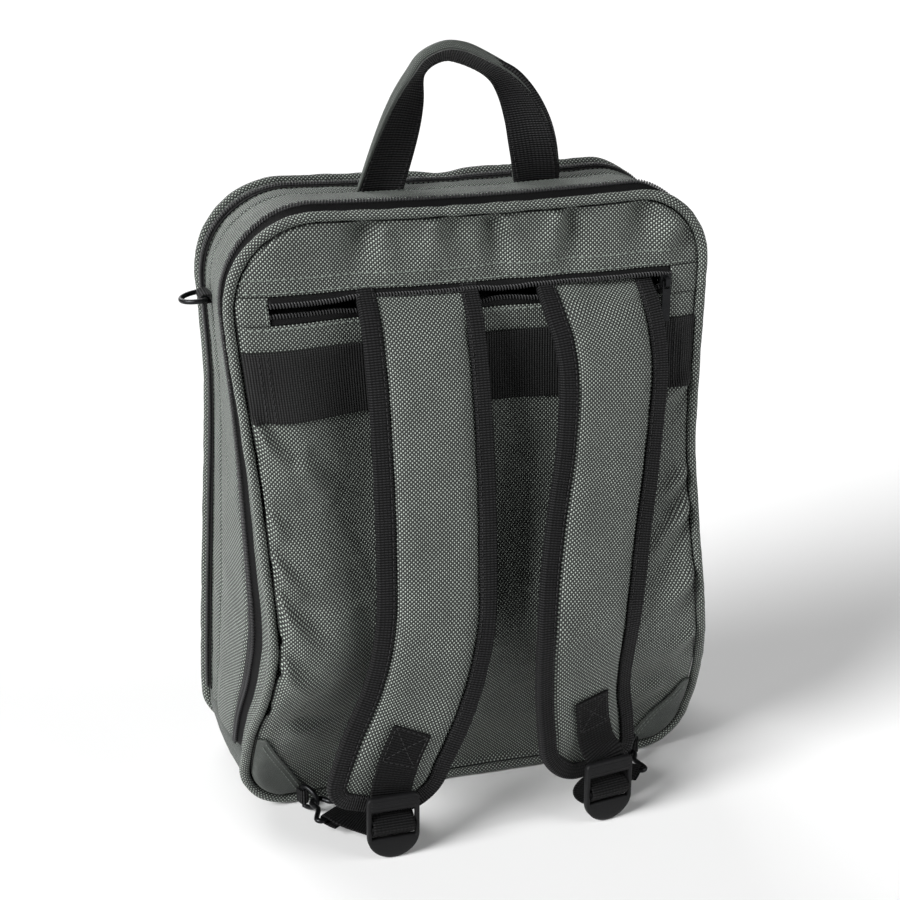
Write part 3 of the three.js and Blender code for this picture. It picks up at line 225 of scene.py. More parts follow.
def loft(name, rings, material, closed=False, caps="fan", sharp=None, uv=None):
    """Joins rings, an array of rows by points by 3 in millimetres, into one closed piece."""
    rings = np.asarray(rings, float)
    rows, cols = rings.shape[:2]
    grid_uv = ring_uv(rings) if uv is None else uv
    if closed:
        last = grid_uv[-1] + np.array([0, np.linalg.norm(rings[0, 0] - rings[-1, 0])])
        grid_uv = np.concatenate([grid_uv, last[None]], 0)
    r, c = np.meshgrid(np.arange(rows if closed else rows - 1), np.arange(cols), indexing="ij")
    r2, c2 = (r + 1) % rows, (c + 1) % cols
    quads = np.stack([r * cols + c, r * cols + c2, r2 * cols + c2, r2 * cols + c], -1).reshape(-1, 4)
    uvs = np.stack([grid_uv[r, c], grid_uv[r, c + 1], grid_uv[r + 1, c + 1], grid_uv[r + 1, c]], -2)
    uvs = uvs.reshape(-1, 4, 2)
    a, b, d = rings[r, c], rings[r, c2], rings[r2, c]
    middle = rings.reshape(-1, 3).mean(0)
    volume = np.einsum("ijk,ijk->", a - middle, np.cross(b - middle, d - middle))
    faces, corners = quads.tolist(), uvs
    extra = []
    if not closed:
        for row, turn in ((0, -1), (rows - 1, 1)):
            start = row * cols
            if caps == "pairs":
                half = cols // 2
                for i in range(half - 1):
                    f = [start + i, start + i + 1, start + cols - 2 - i, start + cols - 1 - i]
                    extra.append(f if turn > 0 else f[::-1])
            else:
                f = [start + i for i in range(cols)]
                extra.append(f if turn > 0 else f[::-1])
    if volume < 0:
        faces = [f[::-1] for f in faces]
        corners = corners[:, ::-1]
        extra = [f[::-1] for f in extra]
    flat = grid_uv[:rows, :cols].reshape(-1, 2)
    extra_uv = [flat[i] for f in extra for i in f]
    all_uv = np.concatenate([corners.reshape(-1, 2), np.array(extra_uv).reshape(-1, 2)], 0)
    return mesh_piece(name, rings.reshape(-1, 3), faces + extra, all_uv, material, sharp)

def two_faced(name, outer, inner, u, v, material):
    """A sheet from the points of its two faces, with one UV map in millimetres on both."""
    both = lambda a: np.concatenate([a, a[:, ::-1], a[:, :1]], 1)
    rings = np.concatenate([outer, inner[:, ::-1]], 1)
    return loft(name, rings, material, caps="pairs", uv=np.stack([both(u), both(v)], -1))

def dress(piece, nodes, finish, body="pack"):
    """The piece rides on its body and stands for its solids. The finish argument is not used."""
    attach(piece, body)
    if nodes:
        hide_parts(*nodes)
    return piece

print("helpers ready")

# %% [markdown]
# The finishes come next. The body cloth is a grey-green basket weave: bundles of thread cross over
# and under in little squares about a millimetre and a quarter wide. The height of the threads is worked
# out from the UV map in millimetres, and drives the colour, the roughness and the bump together. The
# gaps between threads are painted dark as a painted shade, the squares where the weft lies on top are
# painted darker, also as a painted shade, and the smoother crowns catch the light.

# %% A small helper for shader nodes
class Finish:
    """A material whose node values are joined by short calls."""

    def __init__(self, name, colour=(0.1, 0.1, 0.1), roughness=0.6, metallic=0.0, specular=0.5):
        self.material = bpy.data.materials.new(name)
        self.material.use_nodes = True
        self.material.diffuse_color = (*colour, 1)
        self.tree = self.material.node_tree
        self.shader = self.tree.nodes["Principled BSDF"]
        self.shader.inputs["Base Color"].default_value = (*colour, 1)
        self.shader.inputs["Roughness"].default_value = roughness
        self.shader.inputs["Metallic"].default_value = metallic
        self.shader.inputs["Specular IOR Level"].default_value = specular

    def put(self, socket, value):
        if isinstance(value, bpy.types.NodeSocket):
            self.tree.links.new(value, socket)
        else:
            socket.default_value = value

    def node(self, kind, **inputs):
        made = self.tree.nodes.new(kind)
        for key, value in inputs.items():
            self.put(made.inputs[key], value)
        return made.outputs[0]

    def math(self, operation, a, b=0.0, c=None):
        made = self.tree.nodes.new("ShaderNodeMath")
        made.operation = operation
        self.put(made.inputs[0], a)
        self.put(made.inputs[1], b)
        if c is not None:
            self.put(made.inputs[2], c)
        return made.outputs[0]

    def place(self, kind="UV"):
        coordinates = self.tree.nodes.new("ShaderNodeTexCoord").outputs[kind]
        split = self.tree.nodes.new("ShaderNodeSeparateXYZ")
        self.tree.links.new(coordinates, split.inputs[0])
        return coordinates, split.outputs[0], split.outputs[1]

    def noise(self, vector, scale, detail=2.0):
        made = self.tree.nodes.new("ShaderNodeTexNoise")
        self.put(made.inputs["Vector"], vector)
        made.inputs["Scale"].default_value = scale
        made.inputs["Detail"].default_value = detail
        return made.outputs["Fac"]

    def between(self, value, low, high, to_low, to_high):
        made = self.tree.nodes.new("ShaderNodeMapRange")
        self.put(made.inputs["Value"], value)
        for key, number in (("From Min", low), ("From Max", high), ("To Min", to_low), ("To Max", to_high)):
            made.inputs[key].default_value = number
        return made.outputs["Result"]

    def mix(self, share, a, b):
        made = self.tree.nodes.new("ShaderNodeMix")
        made.data_type = "RGBA"
        self.put(made.inputs[0], share)
        self.put(made.inputs[6], a if isinstance(a, bpy.types.NodeSocket) else (*a, 1))
        self.put(made.inputs[7], b if isinstance(b, bpy.types.NodeSocket) else (*b, 1))
        return made.outputs[2]

    def scaled(self, colour, amount):
        made = self.tree.nodes.new("ShaderNodeVectorMath")
        made.operation = "SCALE"
        self.put(made.inputs[0], colour if isinstance(colour, bpy.types.NodeSocket) else tuple(colour))
        self.put(made.inputs["Scale"], amount)
        return made.outputs[0]

    def wave(self, along, pitch):
        """|sin| with one crown every pitch millimetres."""
        return self.math("ABSOLUTE", self.math("SINE", self.math("MULTIPLY", along, math.pi / pitch)))

    def relief(self, height, depth_mm):
        made = self.tree.nodes.new("ShaderNodeBump")
        self.put(made.inputs["Height"], height)
        made.inputs["Distance"].default_value = depth_mm * MM
        self.tree.links.new(made.outputs["Normal"], self.shader.inputs["Normal"])

def cloth_finish(name, thread, gap, pitch, depth, under=0.05):
    """A basket weave: in each square the light warp or the weft lies on top; the weft squares darkened by
    under and the gap colour are both painted shade.
    """
    smooth, rough, vary, sheen = 0.4, 0.85, 0.12, 0.04
    f = Finish(name, thread, (smooth + rough) / 2)
    where, u, v = f.place()
    cell_u = f.math("FLOOR", f.math("DIVIDE", u, pitch))
    cell_v = f.math("FLOOR", f.math("DIVIDE", v, pitch))
    checker = f.math("ABSOLUTE", f.math("MODULO", f.math("ADD", cell_u, cell_v), 2.0))
    over_u, over_v = f.wave(u, pitch), f.wave(v, pitch)
    warp = f.math("MULTIPLY", f.math("POWER", over_u, 0.6), f.math("MULTIPLY_ADD", over_v, 0.5, 0.5))
    weft = f.math("MULTIPLY", f.math("POWER", over_v, 0.6), f.math("MULTIPLY_ADD", over_u, 0.5, 0.5))
    height = f.math("ADD", f.math("MULTIPLY", weft, checker),
                    f.math("MULTIPLY", warp, f.math("SUBTRACT", 1.0, checker)))
    cell = f.node("ShaderNodeCombineXYZ", X=cell_u, Y=cell_v)
    speck = f.tree.nodes.new("ShaderNodeTexWhiteNoise")
    speck.noise_dimensions = "2D"
    f.tree.links.new(cell, speck.inputs["Vector"])
    uneven = f.between(speck.outputs["Value"], 0.0, 1.0, 1.0 - vary, 1.0 + vary)
    # The weft squares are darkened by under: a painted shade for the weft that turns the light away. uneven is
    # a real random tone.
    threads = f.math("MULTIPLY", uneven, f.between(checker, 0.0, 1.0, 1.0, under))
    mottle = f.between(f.noise(where, 0.035, 3.0), 0.3, 0.7, 0.86, 1.12)
    colour = f.scaled(f.scaled(thread, threads), mottle)
    # Below the crowns the colour fades to gap, a painted shade in the hollows between the threads.
    f.put(f.shader.inputs["Base Color"], f.mix(f.between(height, 0.5, 1.0, 0.0, 1.0), gap, colour))
    f.put(f.shader.inputs["Roughness"], f.between(height, 0.2, 1.0, rough, smooth))
    f.relief(height, depth)
    f.shader.inputs["Sheen Weight"].default_value = sheen
    f.shader.inputs["Sheen Roughness"].default_value = 0.5
    return f.material

def ribbed_finish(name, colour, rib, depth, across=2.2, slant=0.0):
    """Woven tape or webbing: fine ribs across its length, crossed by faint rows along it, with painted shade
    in the grooves.
    """
    smooth, rough = 0.55, 0.85
    f = Finish(name, colour, 0.65, specular=0.16)
    where, u, v = f.place()
    run = f.math("ADD", v, f.math("MULTIPLY", u, slant)) if slant else v
    ribs, rows = f.wave(run, rib), f.wave(u, across)
    height = f.math("MULTIPLY", f.math("POWER", ribs, 0.7), f.math("MULTIPLY_ADD", rows, 0.35, 0.65))
    fuzz = f.between(f.noise(where, 0.9, 2.0), 0.3, 0.7, 0.8, 1.25)
    # The grooves between the ribs are painted near black, a painted shade; fuzz is a real random tone.
    dark = tuple(c * 0.08 for c in colour)
    f.put(f.shader.inputs["Base Color"], f.mix(f.math("POWER", height, 2.6), dark, f.scaled(colour, fuzz)))
    f.put(f.shader.inputs["Roughness"], f.between(height, 0.0, 1.0, rough, smooth))
    f.relief(height, depth)
    return f.material

def hard_finish(name, colour, roughness, metallic=0.0, grain=900.0, depth=0.02, wear=0.25, specular=0.35):
    """Moulded plastic or plated metal: a fine grain, and lighter rubbed places."""
    f = Finish(name, colour, roughness, metallic, specular)
    where, _, _ = f.place("Object")
    fine = f.noise(where, grain, 3.0)
    rubbed = f.between(f.noise(where, 120.0, 4.0), 0.45, 0.75, 0.0, wear)
    light = tuple(min(1.0, c * 2.2 + 0.002) for c in colour)
    f.put(f.shader.inputs["Base Color"], f.mix(rubbed, colour, light))
    f.put(f.shader.inputs["Roughness"], f.between(fine, 0.3, 0.7, roughness - 0.06, roughness + 0.1))
    f.relief(fine, depth)
    return f.material

# %% [markdown]
# Each finish has its own colour, pitch and depth, chosen beside crops of the photograph. The blacks
# are very dark, because the light is strong.

# %% The finishes
GREY_GREEN = (0.46, 0.52, 0.462)
FINE_GREEN = (0.17, 0.195, 0.172)
# The near-black gap colour is painted shade between the threads, not the colour of the yarn.
WEAVE_GAP_SHADE = (0.004, 0.005, 0.0045)
body_cloth = cloth_finish("basket_weave_cloth", GREY_GREEN, WEAVE_GAP_SHADE, 1.22, 0.4)
fine_cloth = cloth_finish("fine_weave_cloth", FINE_GREEN, WEAVE_GAP_SHADE, 0.6, 0.15, under=0.5)
webbing = ribbed_finish("black_webbing", (0.022, 0.022, 0.023), 1.5, 1.0)
# A darker copy of the black webbing: a painted shade for the tabs and the adjusting webbing by the locks.
shaded_tab_webbing = ribbed_finish("shaded_webbing", (0.008, 0.008, 0.0085), 1.5, 0.8)
band_cloth = ribbed_finish("black_ribbed_band", (0.026, 0.0265, 0.0265), 1.6, 0.6, across=1.3)
zip_tape = ribbed_finish("zip_tape", (0.005, 0.005, 0.0055), 0.8, 0.15, across=0.9, slant=0.6)
lining_cloth = cloth_finish("lining_cloth", (0.010, 0.011, 0.010), (0.003, 0.003, 0.003), 0.7, 0.1)
coil_nylon = hard_finish("zip_coil", (0.030, 0.030, 0.031), 0.36, grain=1500.0)
moulded = hard_finish("moulded_plastic", (0.0045, 0.0045, 0.005), 0.55, wear=0.15, specular=0.2)
gunmetal = hard_finish("gunmetal", (0.013, 0.0134, 0.0145), 0.3, 0.8, grain=1400.0, depth=0.01)
green_thread = hard_finish("green_thread", (0.15, 0.172, 0.153), 0.6, grain=2500.0, depth=0.05)
black_thread = hard_finish("black_thread", (0.013, 0.013, 0.0135), 0.6, grain=2500.0, depth=0.05)
print("finishes:", len(bpy.data.materials))

# %% [markdown]
# The bag's outline from behind is a rectangle with four rounded corners. Stations along it carry
# an outward direction, and every band, zip and piping of the shell is a section run along them.

# %% The outline
def arc(centre_x, centre_z, radius, start, end, steps):
    angle = np.linspace(start, end, steps + 1)
    nx, nz = np.cos(angle), np.sin(angle)
    return np.stack([centre_x + radius * nx, centre_z + radius * nz, nx, nz], 1)

def straight(a, b, steps):
    t = np.linspace(0, 1, steps + 1)[1:-1, None]
    inside = a + (b - a) * t
    inside[:, 2:] = a[2:]
    return inside

def over_the_top(step=3.0):
    """Stations from the left seam over the top to the right seam."""
    half = WIDTH / 2
    left = arc(CORNER_TOP_LEFT - half, HEIGHT - CORNER_TOP_LEFT, CORNER_TOP_LEFT, math.pi, math.pi / 2, 30)
    right = arc(half - CORNER_TOP_RIGHT, HEIGHT - CORNER_TOP_RIGHT, CORNER_TOP_RIGHT, math.pi / 2, 0, 26)
    foot = np.array([-half, SEAM_HEIGHT, -1, 0])
    end = np.array([half, SEAM_HEIGHT, 1, 0])
    count = lambda a, b: max(2, int(np.linalg.norm((b - a)[:2]) / step))
    return np.concatenate([foot[None], straight(foot, left[0], count(foot, left[0])), left,
                           straight(left[-1], right[0], count(left[-1], right[0])), right,
                           straight(right[-1], end, count(right[-1], end)), end[None]])

def under_the_base(step=4.0):
    half = WIDTH / 2
    z = BASE + CORNER_BOTTOM
    right = arc(half - CORNER_BOTTOM, z, CORNER_BOTTOM, 0, -math.pi / 2, 16)
    left = arc(CORNER_BOTTOM - half, z, CORNER_BOTTOM, -math.pi / 2, -math.pi, 16)
    start = np.array([half, SEAM_HEIGHT, 1, 0])
    end = np.array([-half, SEAM_HEIGHT, -1, 0])
    floor = straight(right[-1], left[0], int((WIDTH - 2 * CORNER_BOTTOM) / step))
    return np.concatenate([start[None], right, floor, left, end[None]])

UPPER, LOWER = over_the_top(), under_the_base()
WHOLE = np.concatenate([UPPER, LOWER[1:-1]])

def arclength(stations):
    return distance_along(stations[:, :2])

def skin_offset(stations):
    return -GUSSET_RECESS + (BASE + GUSSET_RECESS) * np.maximum(0, -stations[:, 3])

def run(stations, out, y, on_skin=True):
    """Rings along the outline. out and y are arrays of one row for each station."""
    skin = skin_offset(stations)[:, None] if on_skin else 0.0
    away = out + skin
    return settled(stations[:, :1] + stations[:, 2:3] * away, np.broadcast_to(y, away.shape),
                   stations[:, 1:2] + stations[:, 3:4] * away)

# %% [markdown]
# The gusset's cloth strips swell a little between their seams and wrinkle softly. Their edges are
# turned under where they meet a zip or the piping, and the strip beside the back zip rises with it.

# %% Gusset strips and base
ZIP_TOP, ZIP_SIDE = 4.6, 1.9

def standing(stations, top, side):
    """How far a zip stands out of the gusset: top millimetres along the top, side ones on the sides."""
    return side + (top - side) * np.maximum(0, stations[:, 3:4]) ** 6

def strip_section(stations, start, end, puff, seed, wrinkle=0.8, columns=18, lift=0.0):
    """A strip of cloth between two seams: its outer face swells, its edges turn under, and lift raises
    its edge towards the back."""
    t = np.linspace(0, 1, columns)
    y = start + (end - start) * t
    s = arclength(stations)[:, None]
    turned = np.maximum(0, 1 - np.minimum(t, 1 - t) * (end - start) / 1.6) ** 2
    hold = np.sin(np.pi * t) ** 0.7
    folds = soft_noise(s, y[None], 26, seed) * 0.6 + crease(s, y[None] * 2.2, 34, seed + 3) * 0.7 - 0.1
    gather = soft_noise(s, y[None] * 0.15, 8.5, seed + 5) * 0.5 * (1 - hold)
    face = puff * hold - 0.8 * turned + wrinkle * folds * hold + gather + lift * (1 - t) ** 1.6
    back = np.minimum(face - 0.5, -CLOTH)
    out = np.concatenate([face, back[:, ::-1]], 1)
    return out, np.concatenate([y, y[::-1]])[None]

EDGE = DEPTH / 2 - PIPING_RADIUS - GAP * 2
HALF_TAPE = ZIP_TAPE_WIDTH / 2 + GAP / 2
STRIPS = {
    "back_band": (-EDGE, BACK_ZIP_Y - HALF_TAPE, 0.7, 1),
    "gusset_back": (BACK_ZIP_Y + HALF_TAPE, HANDLE_SEAM_Y - GAP / 2, 1.4, 2),
    "gusset_front": (HANDLE_SEAM_Y + GAP / 2, FRONT_ZIP_Y - HALF_TAPE, 0.9, 3),
    "front_band": (FRONT_ZIP_Y + HALF_TAPE, EDGE, 0.5, 4),
}
for node, (start, end, puff, seed) in STRIPS.items():
    lift = standing(UPPER, ZIP_TOP, ZIP_SIDE) - GAP if node == "gusset_back" else 0.0
    out, y = strip_section(UPPER, start, end, puff, seed, lift=lift)
    piece = loft(node + "_cloth", run(UPPER, out, y), body_cloth, caps="pairs")
    dress(piece, [node], "nylon")
lower = LOWER.copy()
lower[[0, -1], 1] = SEAM_HEIGHT - GAP
out, y = strip_section(lower, -EDGE, EDGE, 0.6, 6, wrinkle=0.35, columns=44)
on_floor = np.maximum(0, -lower[:, 3])[:, None]
faces = out.shape[1] // 2
out[:, :faces] = np.minimum(out[:, :faces] * (1 - on_floor), np.where(on_floor > 0.5, 0.0, 9.0))
base = loft("base_cloth", run(lower, out, y), fine_cloth, caps="pairs")
dress(base, ["base_strip"], "nylon")
print("gusset strips:", len(STRIPS), "and the base")

# %% [markdown]
# Piping is a cord in a folded strip of cloth, sewn into the seam all round each panel. The cloth
# pulls into small ripples round it, closer together where it turns a corner.

# %% Piping
def piping(name, y, seed):
    s = arclength(WHOLE)[:, None]
    angle = np.linspace(0, 2 * np.pi, 17)[:-1][None]
    ripple = 0.2 * soft_noise(s, angle * 2.2, 3.4, seed) + 0.3 * soft_noise(s, angle, 11.0, seed + 2)
    reach = PIPING_RADIUS + ripple
    rings = run(WHOLE, np.cos(angle) * reach, y + np.sin(angle) * reach, on_skin=False)
    return loft(name, rings, body_cloth, closed=True)

dress(piping("back_piping_cloth", -DEPTH / 2, 11), ["back_piping"], "fine_nylon")
dress(piping("front_piping_cloth", DEPTH / 2, 12), ["front_piping"], "fine_nylon")
print("piping ripples follow a seam of", round(float(arclength(WHOLE)[-1])), "mm")

# %% [markdown]
# The back panel is one curved sheet: an upper piece and a lower piece with a zipped slot between
# them. Three tables shape it: puckers pull it in where a seam gathers the cloth, folds run from a
# seam into the panel, and bulges are the broad swells and hollows of the stuffing. A simulation could
# make such folds too, but a table puts each one where the photograph shows it. Noise adds dents.

# %% Panel faces
PUCKERS = {
    "across": (-0.42, -0.13, 0.14, 0.4, 0.74, -0.8, -0.84, -0.78, 0.86, 0.8),
    "height": (0.965, 0.965, 0.94, 0.945, 0.96, 0.56, 0.4, 0.24, 0.5, 0.2),
    "deep": (0.8, 0.7, 1, 1, 0.8, 1, 1, 0.9, 0.8, 0.9),
    "wide": (0.07, 0.06, 0.06, 0.06, 0.07, 0.12, 0.1, 0.14, 0.09, 0.12),
    "tall": (0.05, 0.05, 0.07, 0.07, 0.05, 0.05, 0.04, 0.04, 0.05, 0.04),
}
PUCKER_DEPTH = 2.6
FOLDS = {
    "x": (-143, -116, -143, -143, -143, -143, 143, 143, 143, 143, 143, -64, -23, 11, 52, 102, 127, -126, 120),
    "z": (259, 232, 208, 184, 162, 125, 260, 207, 187, 150, 110, 366, 366, 366, 366, 366, 354, 72, 62),
    "to_x": (-122, -97, -130, -124, -120, -118, 118, 112, 103, 117, 121, -69, -19, 15, 47, 107, 114, -94, 88),
    "to_z": (227, 208, 194, 160, 130, 98, 248, 185, 157, 128, 94, 334, 336, 332, 336, 338, 337, 52, 47),
    "wide": (5.0, 8.0, 4.5, 5.0, 5.5, 5.5, 5.5, 5.5, 6.0, 5.5, 5.0, 9.0, 8.0, 7.0, 7.0, 9.0, 7.0, 8.0, 8.0),
    "rise": (6.0, 3.8, 4.3, 6.0, 6.6, 5.5, 5.4, 6.0, 7.0, 6.2, 4.2, -6.0, 5.5, -6.6, 6.0, -5.4, 5.0, 2.8, 2.8),
}
BULGES = {
    "x": (-116, -70, 16, 112, 10, -95),
    "z": (165, 160, 160, 150, 345, 345),
    "wide": (24, 24, 26, 24, 60, 34),
    "tall": (125, 125, 120, 110, 22, 22),
    "rise": (7.0, -12.0, -10.0, 3.0, 1.4, 1.6),
}
HALF_PANEL = WIDTH / 2 - PANEL_INSET

def panel_edge(side, z, inset=PANEL_INSET):
    """Half width of the panels at each height, left or right, inside the piping."""
    z = np.asarray(z, float)
    top_round = (CORNER_TOP_LEFT if side < 0 else CORNER_TOP_RIGHT) - inset
    base_round = CORNER_BOTTOM - inset
    half = WIDTH / 2 - inset
    over = np.maximum(0, z - (HEIGHT - inset - top_round))
    under = np.maximum(0, BASE + inset + base_round - z)
    around = np.where(over > 0, top_round, base_round)
    past = np.minimum(around, np.maximum(over, under))
    return side * (half - around + np.sqrt(np.maximum(0, around * around - past * past)))

def edge_distance(x, z):
    """Millimetres from a panel point to its nearest seam, roughly."""
    sideways = np.where(x < 0, x - panel_edge(-1, z), panel_edge(1, z) - x)
    return np.maximum(0, np.minimum(sideways, np.minimum(HEIGHT - PANEL_INSET - z, z - BASE - PANEL_INSET)))

def crown(x, z):
    across = np.maximum(0, 1 - (x / HALF_PANEL) ** 2)
    return across, np.sqrt(across) * ramp(z, 0, CROWN_RISE) * ramp(HEIGHT - z, 0, CROWN_RISE)

def drapes(x, z):
    """Folds that start at a seam and fade into the panel, each a ridge with a valley beside it."""
    height = np.zeros_like(x)
    for x0, z0, x1, z1, wide, rise in zip(*FOLDS.values()):
        way = np.array([x1 - x0, z1 - z0], float)
        length = np.hypot(*way)
        way /= length
        along = ((x - x0) * way[0] + (z - z0) * way[1]) / length
        beside = (x - x0) * way[1] - (z - z0) * way[0]
        fade = ramp(along, -0.12, 0.1) * np.clip(1.08 - along, 0, 1) ** 0.7
        spread = wide * (0.65 + 0.6 * np.clip(along, 0, 1))
        height += rise * fade * (bump(beside / spread) - 0.75 * bump((beside + 1.7 * spread) / spread))
    for middle_x, middle_z, wide, tall, rise in zip(*BULGES.values()):
        height += rise * bump(np.hypot((x - middle_x) / wide / 1.6, (z - middle_z) / tall / 1.3))
    return height * ramp(edge_distance(x, z), -2, 5)

def back_face(x, z):
    """The back panel's outer face, as points in millimetres."""
    x, z = np.broadcast_arrays(np.asarray(x, float), np.asarray(z, float))
    across, full = crown(x, z)
    dent = np.zeros_like(x)
    for a, h, deep, wide, tall in zip(*PUCKERS.values()):
        dent += PUCKER_DEPTH * deep * bump(np.hypot((x / (WIDTH / 2) - a) / wide, (z / HEIGHT - h) / tall))
    place = settled(x, -DEPTH / 2, z)
    away = edge_distance(x, z)
    near_seam = np.exp(-away / 11) * ramp(away, 0, 2)
    gather = soft_noise(x * 0.6, z, 11.0, 4) * (1.2 + 0.5 * ramp(-x, 60, 130)) * near_seam
    soft = soft_noise(x, z * 0.8, 46, 1) * 0.9 + soft_noise(x, z, 21, 2) * 0.35
    folds = crease(x * 0.7, z * 1.5, 52, 6) * 0.8 + crease(x * 1.5 + z * 0.4, z * 0.6, 60, 9) * 0.6
    hold = ramp(away, 0, 14)
    place[..., 1] += dent * np.minimum(1, across * 3) - PANEL_CROWN * full
    place[..., 1] += gather - drapes(x, z) + hold * (soft - folds + 0.35)
    return place

def front_face(x, z):
    x, z = np.broadcast_arrays(np.asarray(x, float), np.asarray(z, float))
    _, full = crown(x, z)
    place = settled(x, DEPTH / 2, z)
    away = edge_distance(x, z)
    hold = ramp(away, 0, 16)
    gather = soft_noise(x, z, 9.0, 24) * 0.8 * np.exp(-away / 9) * ramp(away, 0, 2)
    soft = soft_noise(x, z, 55, 21) * 1.3 + crease(x, z, 70, 22) * 1.0 + soft_noise(x, z, 24, 25) * 0.4
    place[..., 1] += FRONT_CROWN * full + gather + hold * (soft - 0.6)
    return place

def panel(name, face, heights, span, columns, near, far):
    """A sheet over rows of heights. Its outer and inner faces are near and far behind the face."""
    heights = np.asarray(heights, float)
    left, right = span(heights)
    t = np.linspace(0, 1, columns + 1)
    x = left[:, None] + (right - left)[:, None] * t[None]
    z = np.repeat(heights[:, None], columns + 1, 1)
    outer, inner = face(x, z), face(x, z)
    outer[..., 1] += near
    inner[..., 1] += far
    return two_faced(name, outer, inner, x, z, body_cloth)

def full_span(z):
    return panel_edge(-1, z), panel_edge(1, z)

def gathered_span(z):
    """The back panel's edges, nibbled where the seam gathers the cloth."""
    pull = lambda seed: 2.2 * np.maximum(0, soft_noise(z, 0.0, 10, seed)) ** 1.5
    return panel_edge(-1, z) + pull(33), panel_edge(1, z) - 0.6 * pull(35)

def rounded_levels(edge, reach, steps, away):
    angle = np.linspace(0, math.pi / 2, steps)
    return edge + away * reach * (1 - np.cos(angle))

# %% [markdown]
# Rows of heights run closer together round the corners. The sheets are two millimetres thick, and
# the patches at the ends of the slot lie half a millimetre proud of them.

# %% Panels
PATCH_RISE = 0.5
FOOT, TOP = BASE + PANEL_INSET, HEIGHT - PANEL_INSET
low_levels = rounded_levels(FOOT, CORNER_BOTTOM - PANEL_INSET, 14, 1)
high_levels = rounded_levels(TOP, CORNER_TOP_LEFT - PANEL_INSET, 22, -1)[::-1]
middle_levels = np.arange(BASE + CORNER_BOTTOM + 2.5, SLOT_LOW - GAP - 1, 2.5)
coarse_levels = np.arange(BASE + CORNER_BOTTOM + 4, HEIGHT - CORNER_TOP_LEFT - PANEL_INSET, 4)
lower_levels = np.concatenate([low_levels, middle_levels, [SLOT_LOW - GAP]])
upper_levels = np.concatenate([[SLOT_HIGH + GAP, SLOT_HIGH + 1.5], high_levels[high_levels > SLOT_HIGH + 3]])
front_levels = np.concatenate([low_levels, coarse_levels, high_levels])
patch_levels = np.linspace(SLOT_LOW, SLOT_HIGH, 9)
left_end = lambda z: (panel_edge(-1, z), np.full_like(z, -SLOT_HALF - GAP))
right_end = lambda z: (np.full_like(z, SLOT_HALF + GAP), panel_edge(1, z))
for name, face, levels, span, columns, near, far, node, finish in (
        ("back_panel_cloth", back_face, lower_levels, gathered_span, 116, 0, CLOTH, "panel_lower", "nylon"),
        ("back_yoke_cloth", back_face, upper_levels, full_span, 116, 0, CLOTH, "panel_upper", "nylon"),
        ("front_panel_cloth", front_face, front_levels, full_span, 80, 0, -CLOTH, "front_panel", "nylon"),
        ("slot_patch_left", back_face, patch_levels, left_end, 12, -PATCH_RISE, CLOTH, "patch_left",
         "fine_nylon"),
        ("slot_patch_right", back_face, patch_levels, right_end, 12, -PATCH_RISE, CLOTH, "patch_right",
         "fine_nylon")):
    dress(panel(name, face, levels, span, columns, near, far), [node], finish)
print("panel rows:", len(lower_levels), "and", len(upper_levels))

# %% [markdown]
# A zip is two woven tapes, each edged with a coil of nylon wire that meshes with the other. Here
# the tape is a lofted strip, and each coil is a real flattened helix, one turn every 1.8 mm.

# %% Tubes and coils
COIL_PITCH = 1.8

def tube(name, centre, radius, material, up, sides, closed=False):
    """A round wire along a path of points in millimetres."""
    centre = np.asarray(centre, float)
    if closed:
        along = unit(np.roll(centre, -1, 0) - np.roll(centre, 1, 0))
    else:
        along = unit(np.gradient(centre, axis=0))
    side = unit(np.cross(along, np.broadcast_to(np.asarray(up, float), centre.shape)))
    other = np.cross(side, along)
    angle = np.linspace(0, 2 * np.pi, sides + 1)[:-1, None]
    spokes = np.cos(angle) * side[:, None] + np.sin(angle) * other[:, None]
    return loft(name, centre[:, None] + radius * spokes, material, closed=closed)

def coil(name, path, out, across, half_width=1.25, half_height=0.9, wire=0.44):
    """A flattened helix along a path. out and across are unit directions at each path point."""
    steps, sides = 8, 5
    length = distance_along(path)
    s = np.linspace(0, length[-1], int(length[-1] / COIL_PITCH) * steps + 1)
    angle = (2 * np.pi * s / COIL_PITCH)[:, None]
    middle, out, across = (picked(s, length, a) for a in (path, out, across))
    centre = middle + across * (np.cos(angle) * half_width) + out * (np.sin(angle) * half_height)
    return tube(name, centre, wire, coil_nylon, out, sides)

def join(name, *parts):
    """Makes one piece of several, with their own materials kept."""
    bpy.ops.object.select_all(action="DESELECT")
    for part in parts:
        part.select_set(True)
    bpy.context.view_layer.objects.active = parts[0]
    bpy.ops.object.join()
    parts[0].name = name
    parts[0].data.name = name
    return parts[0]

# %% [markdown]
# The stuffing pushes the back zip out, so it stands out of the gusset, most of all along the top,
# and its tape laps over the next band. The front zip lies nearly flat.

# %% The two long zips
FRONT_ZIP_TOP, ZIP_LAP, COIL_ROW = 1.6, 5.5, 1.2

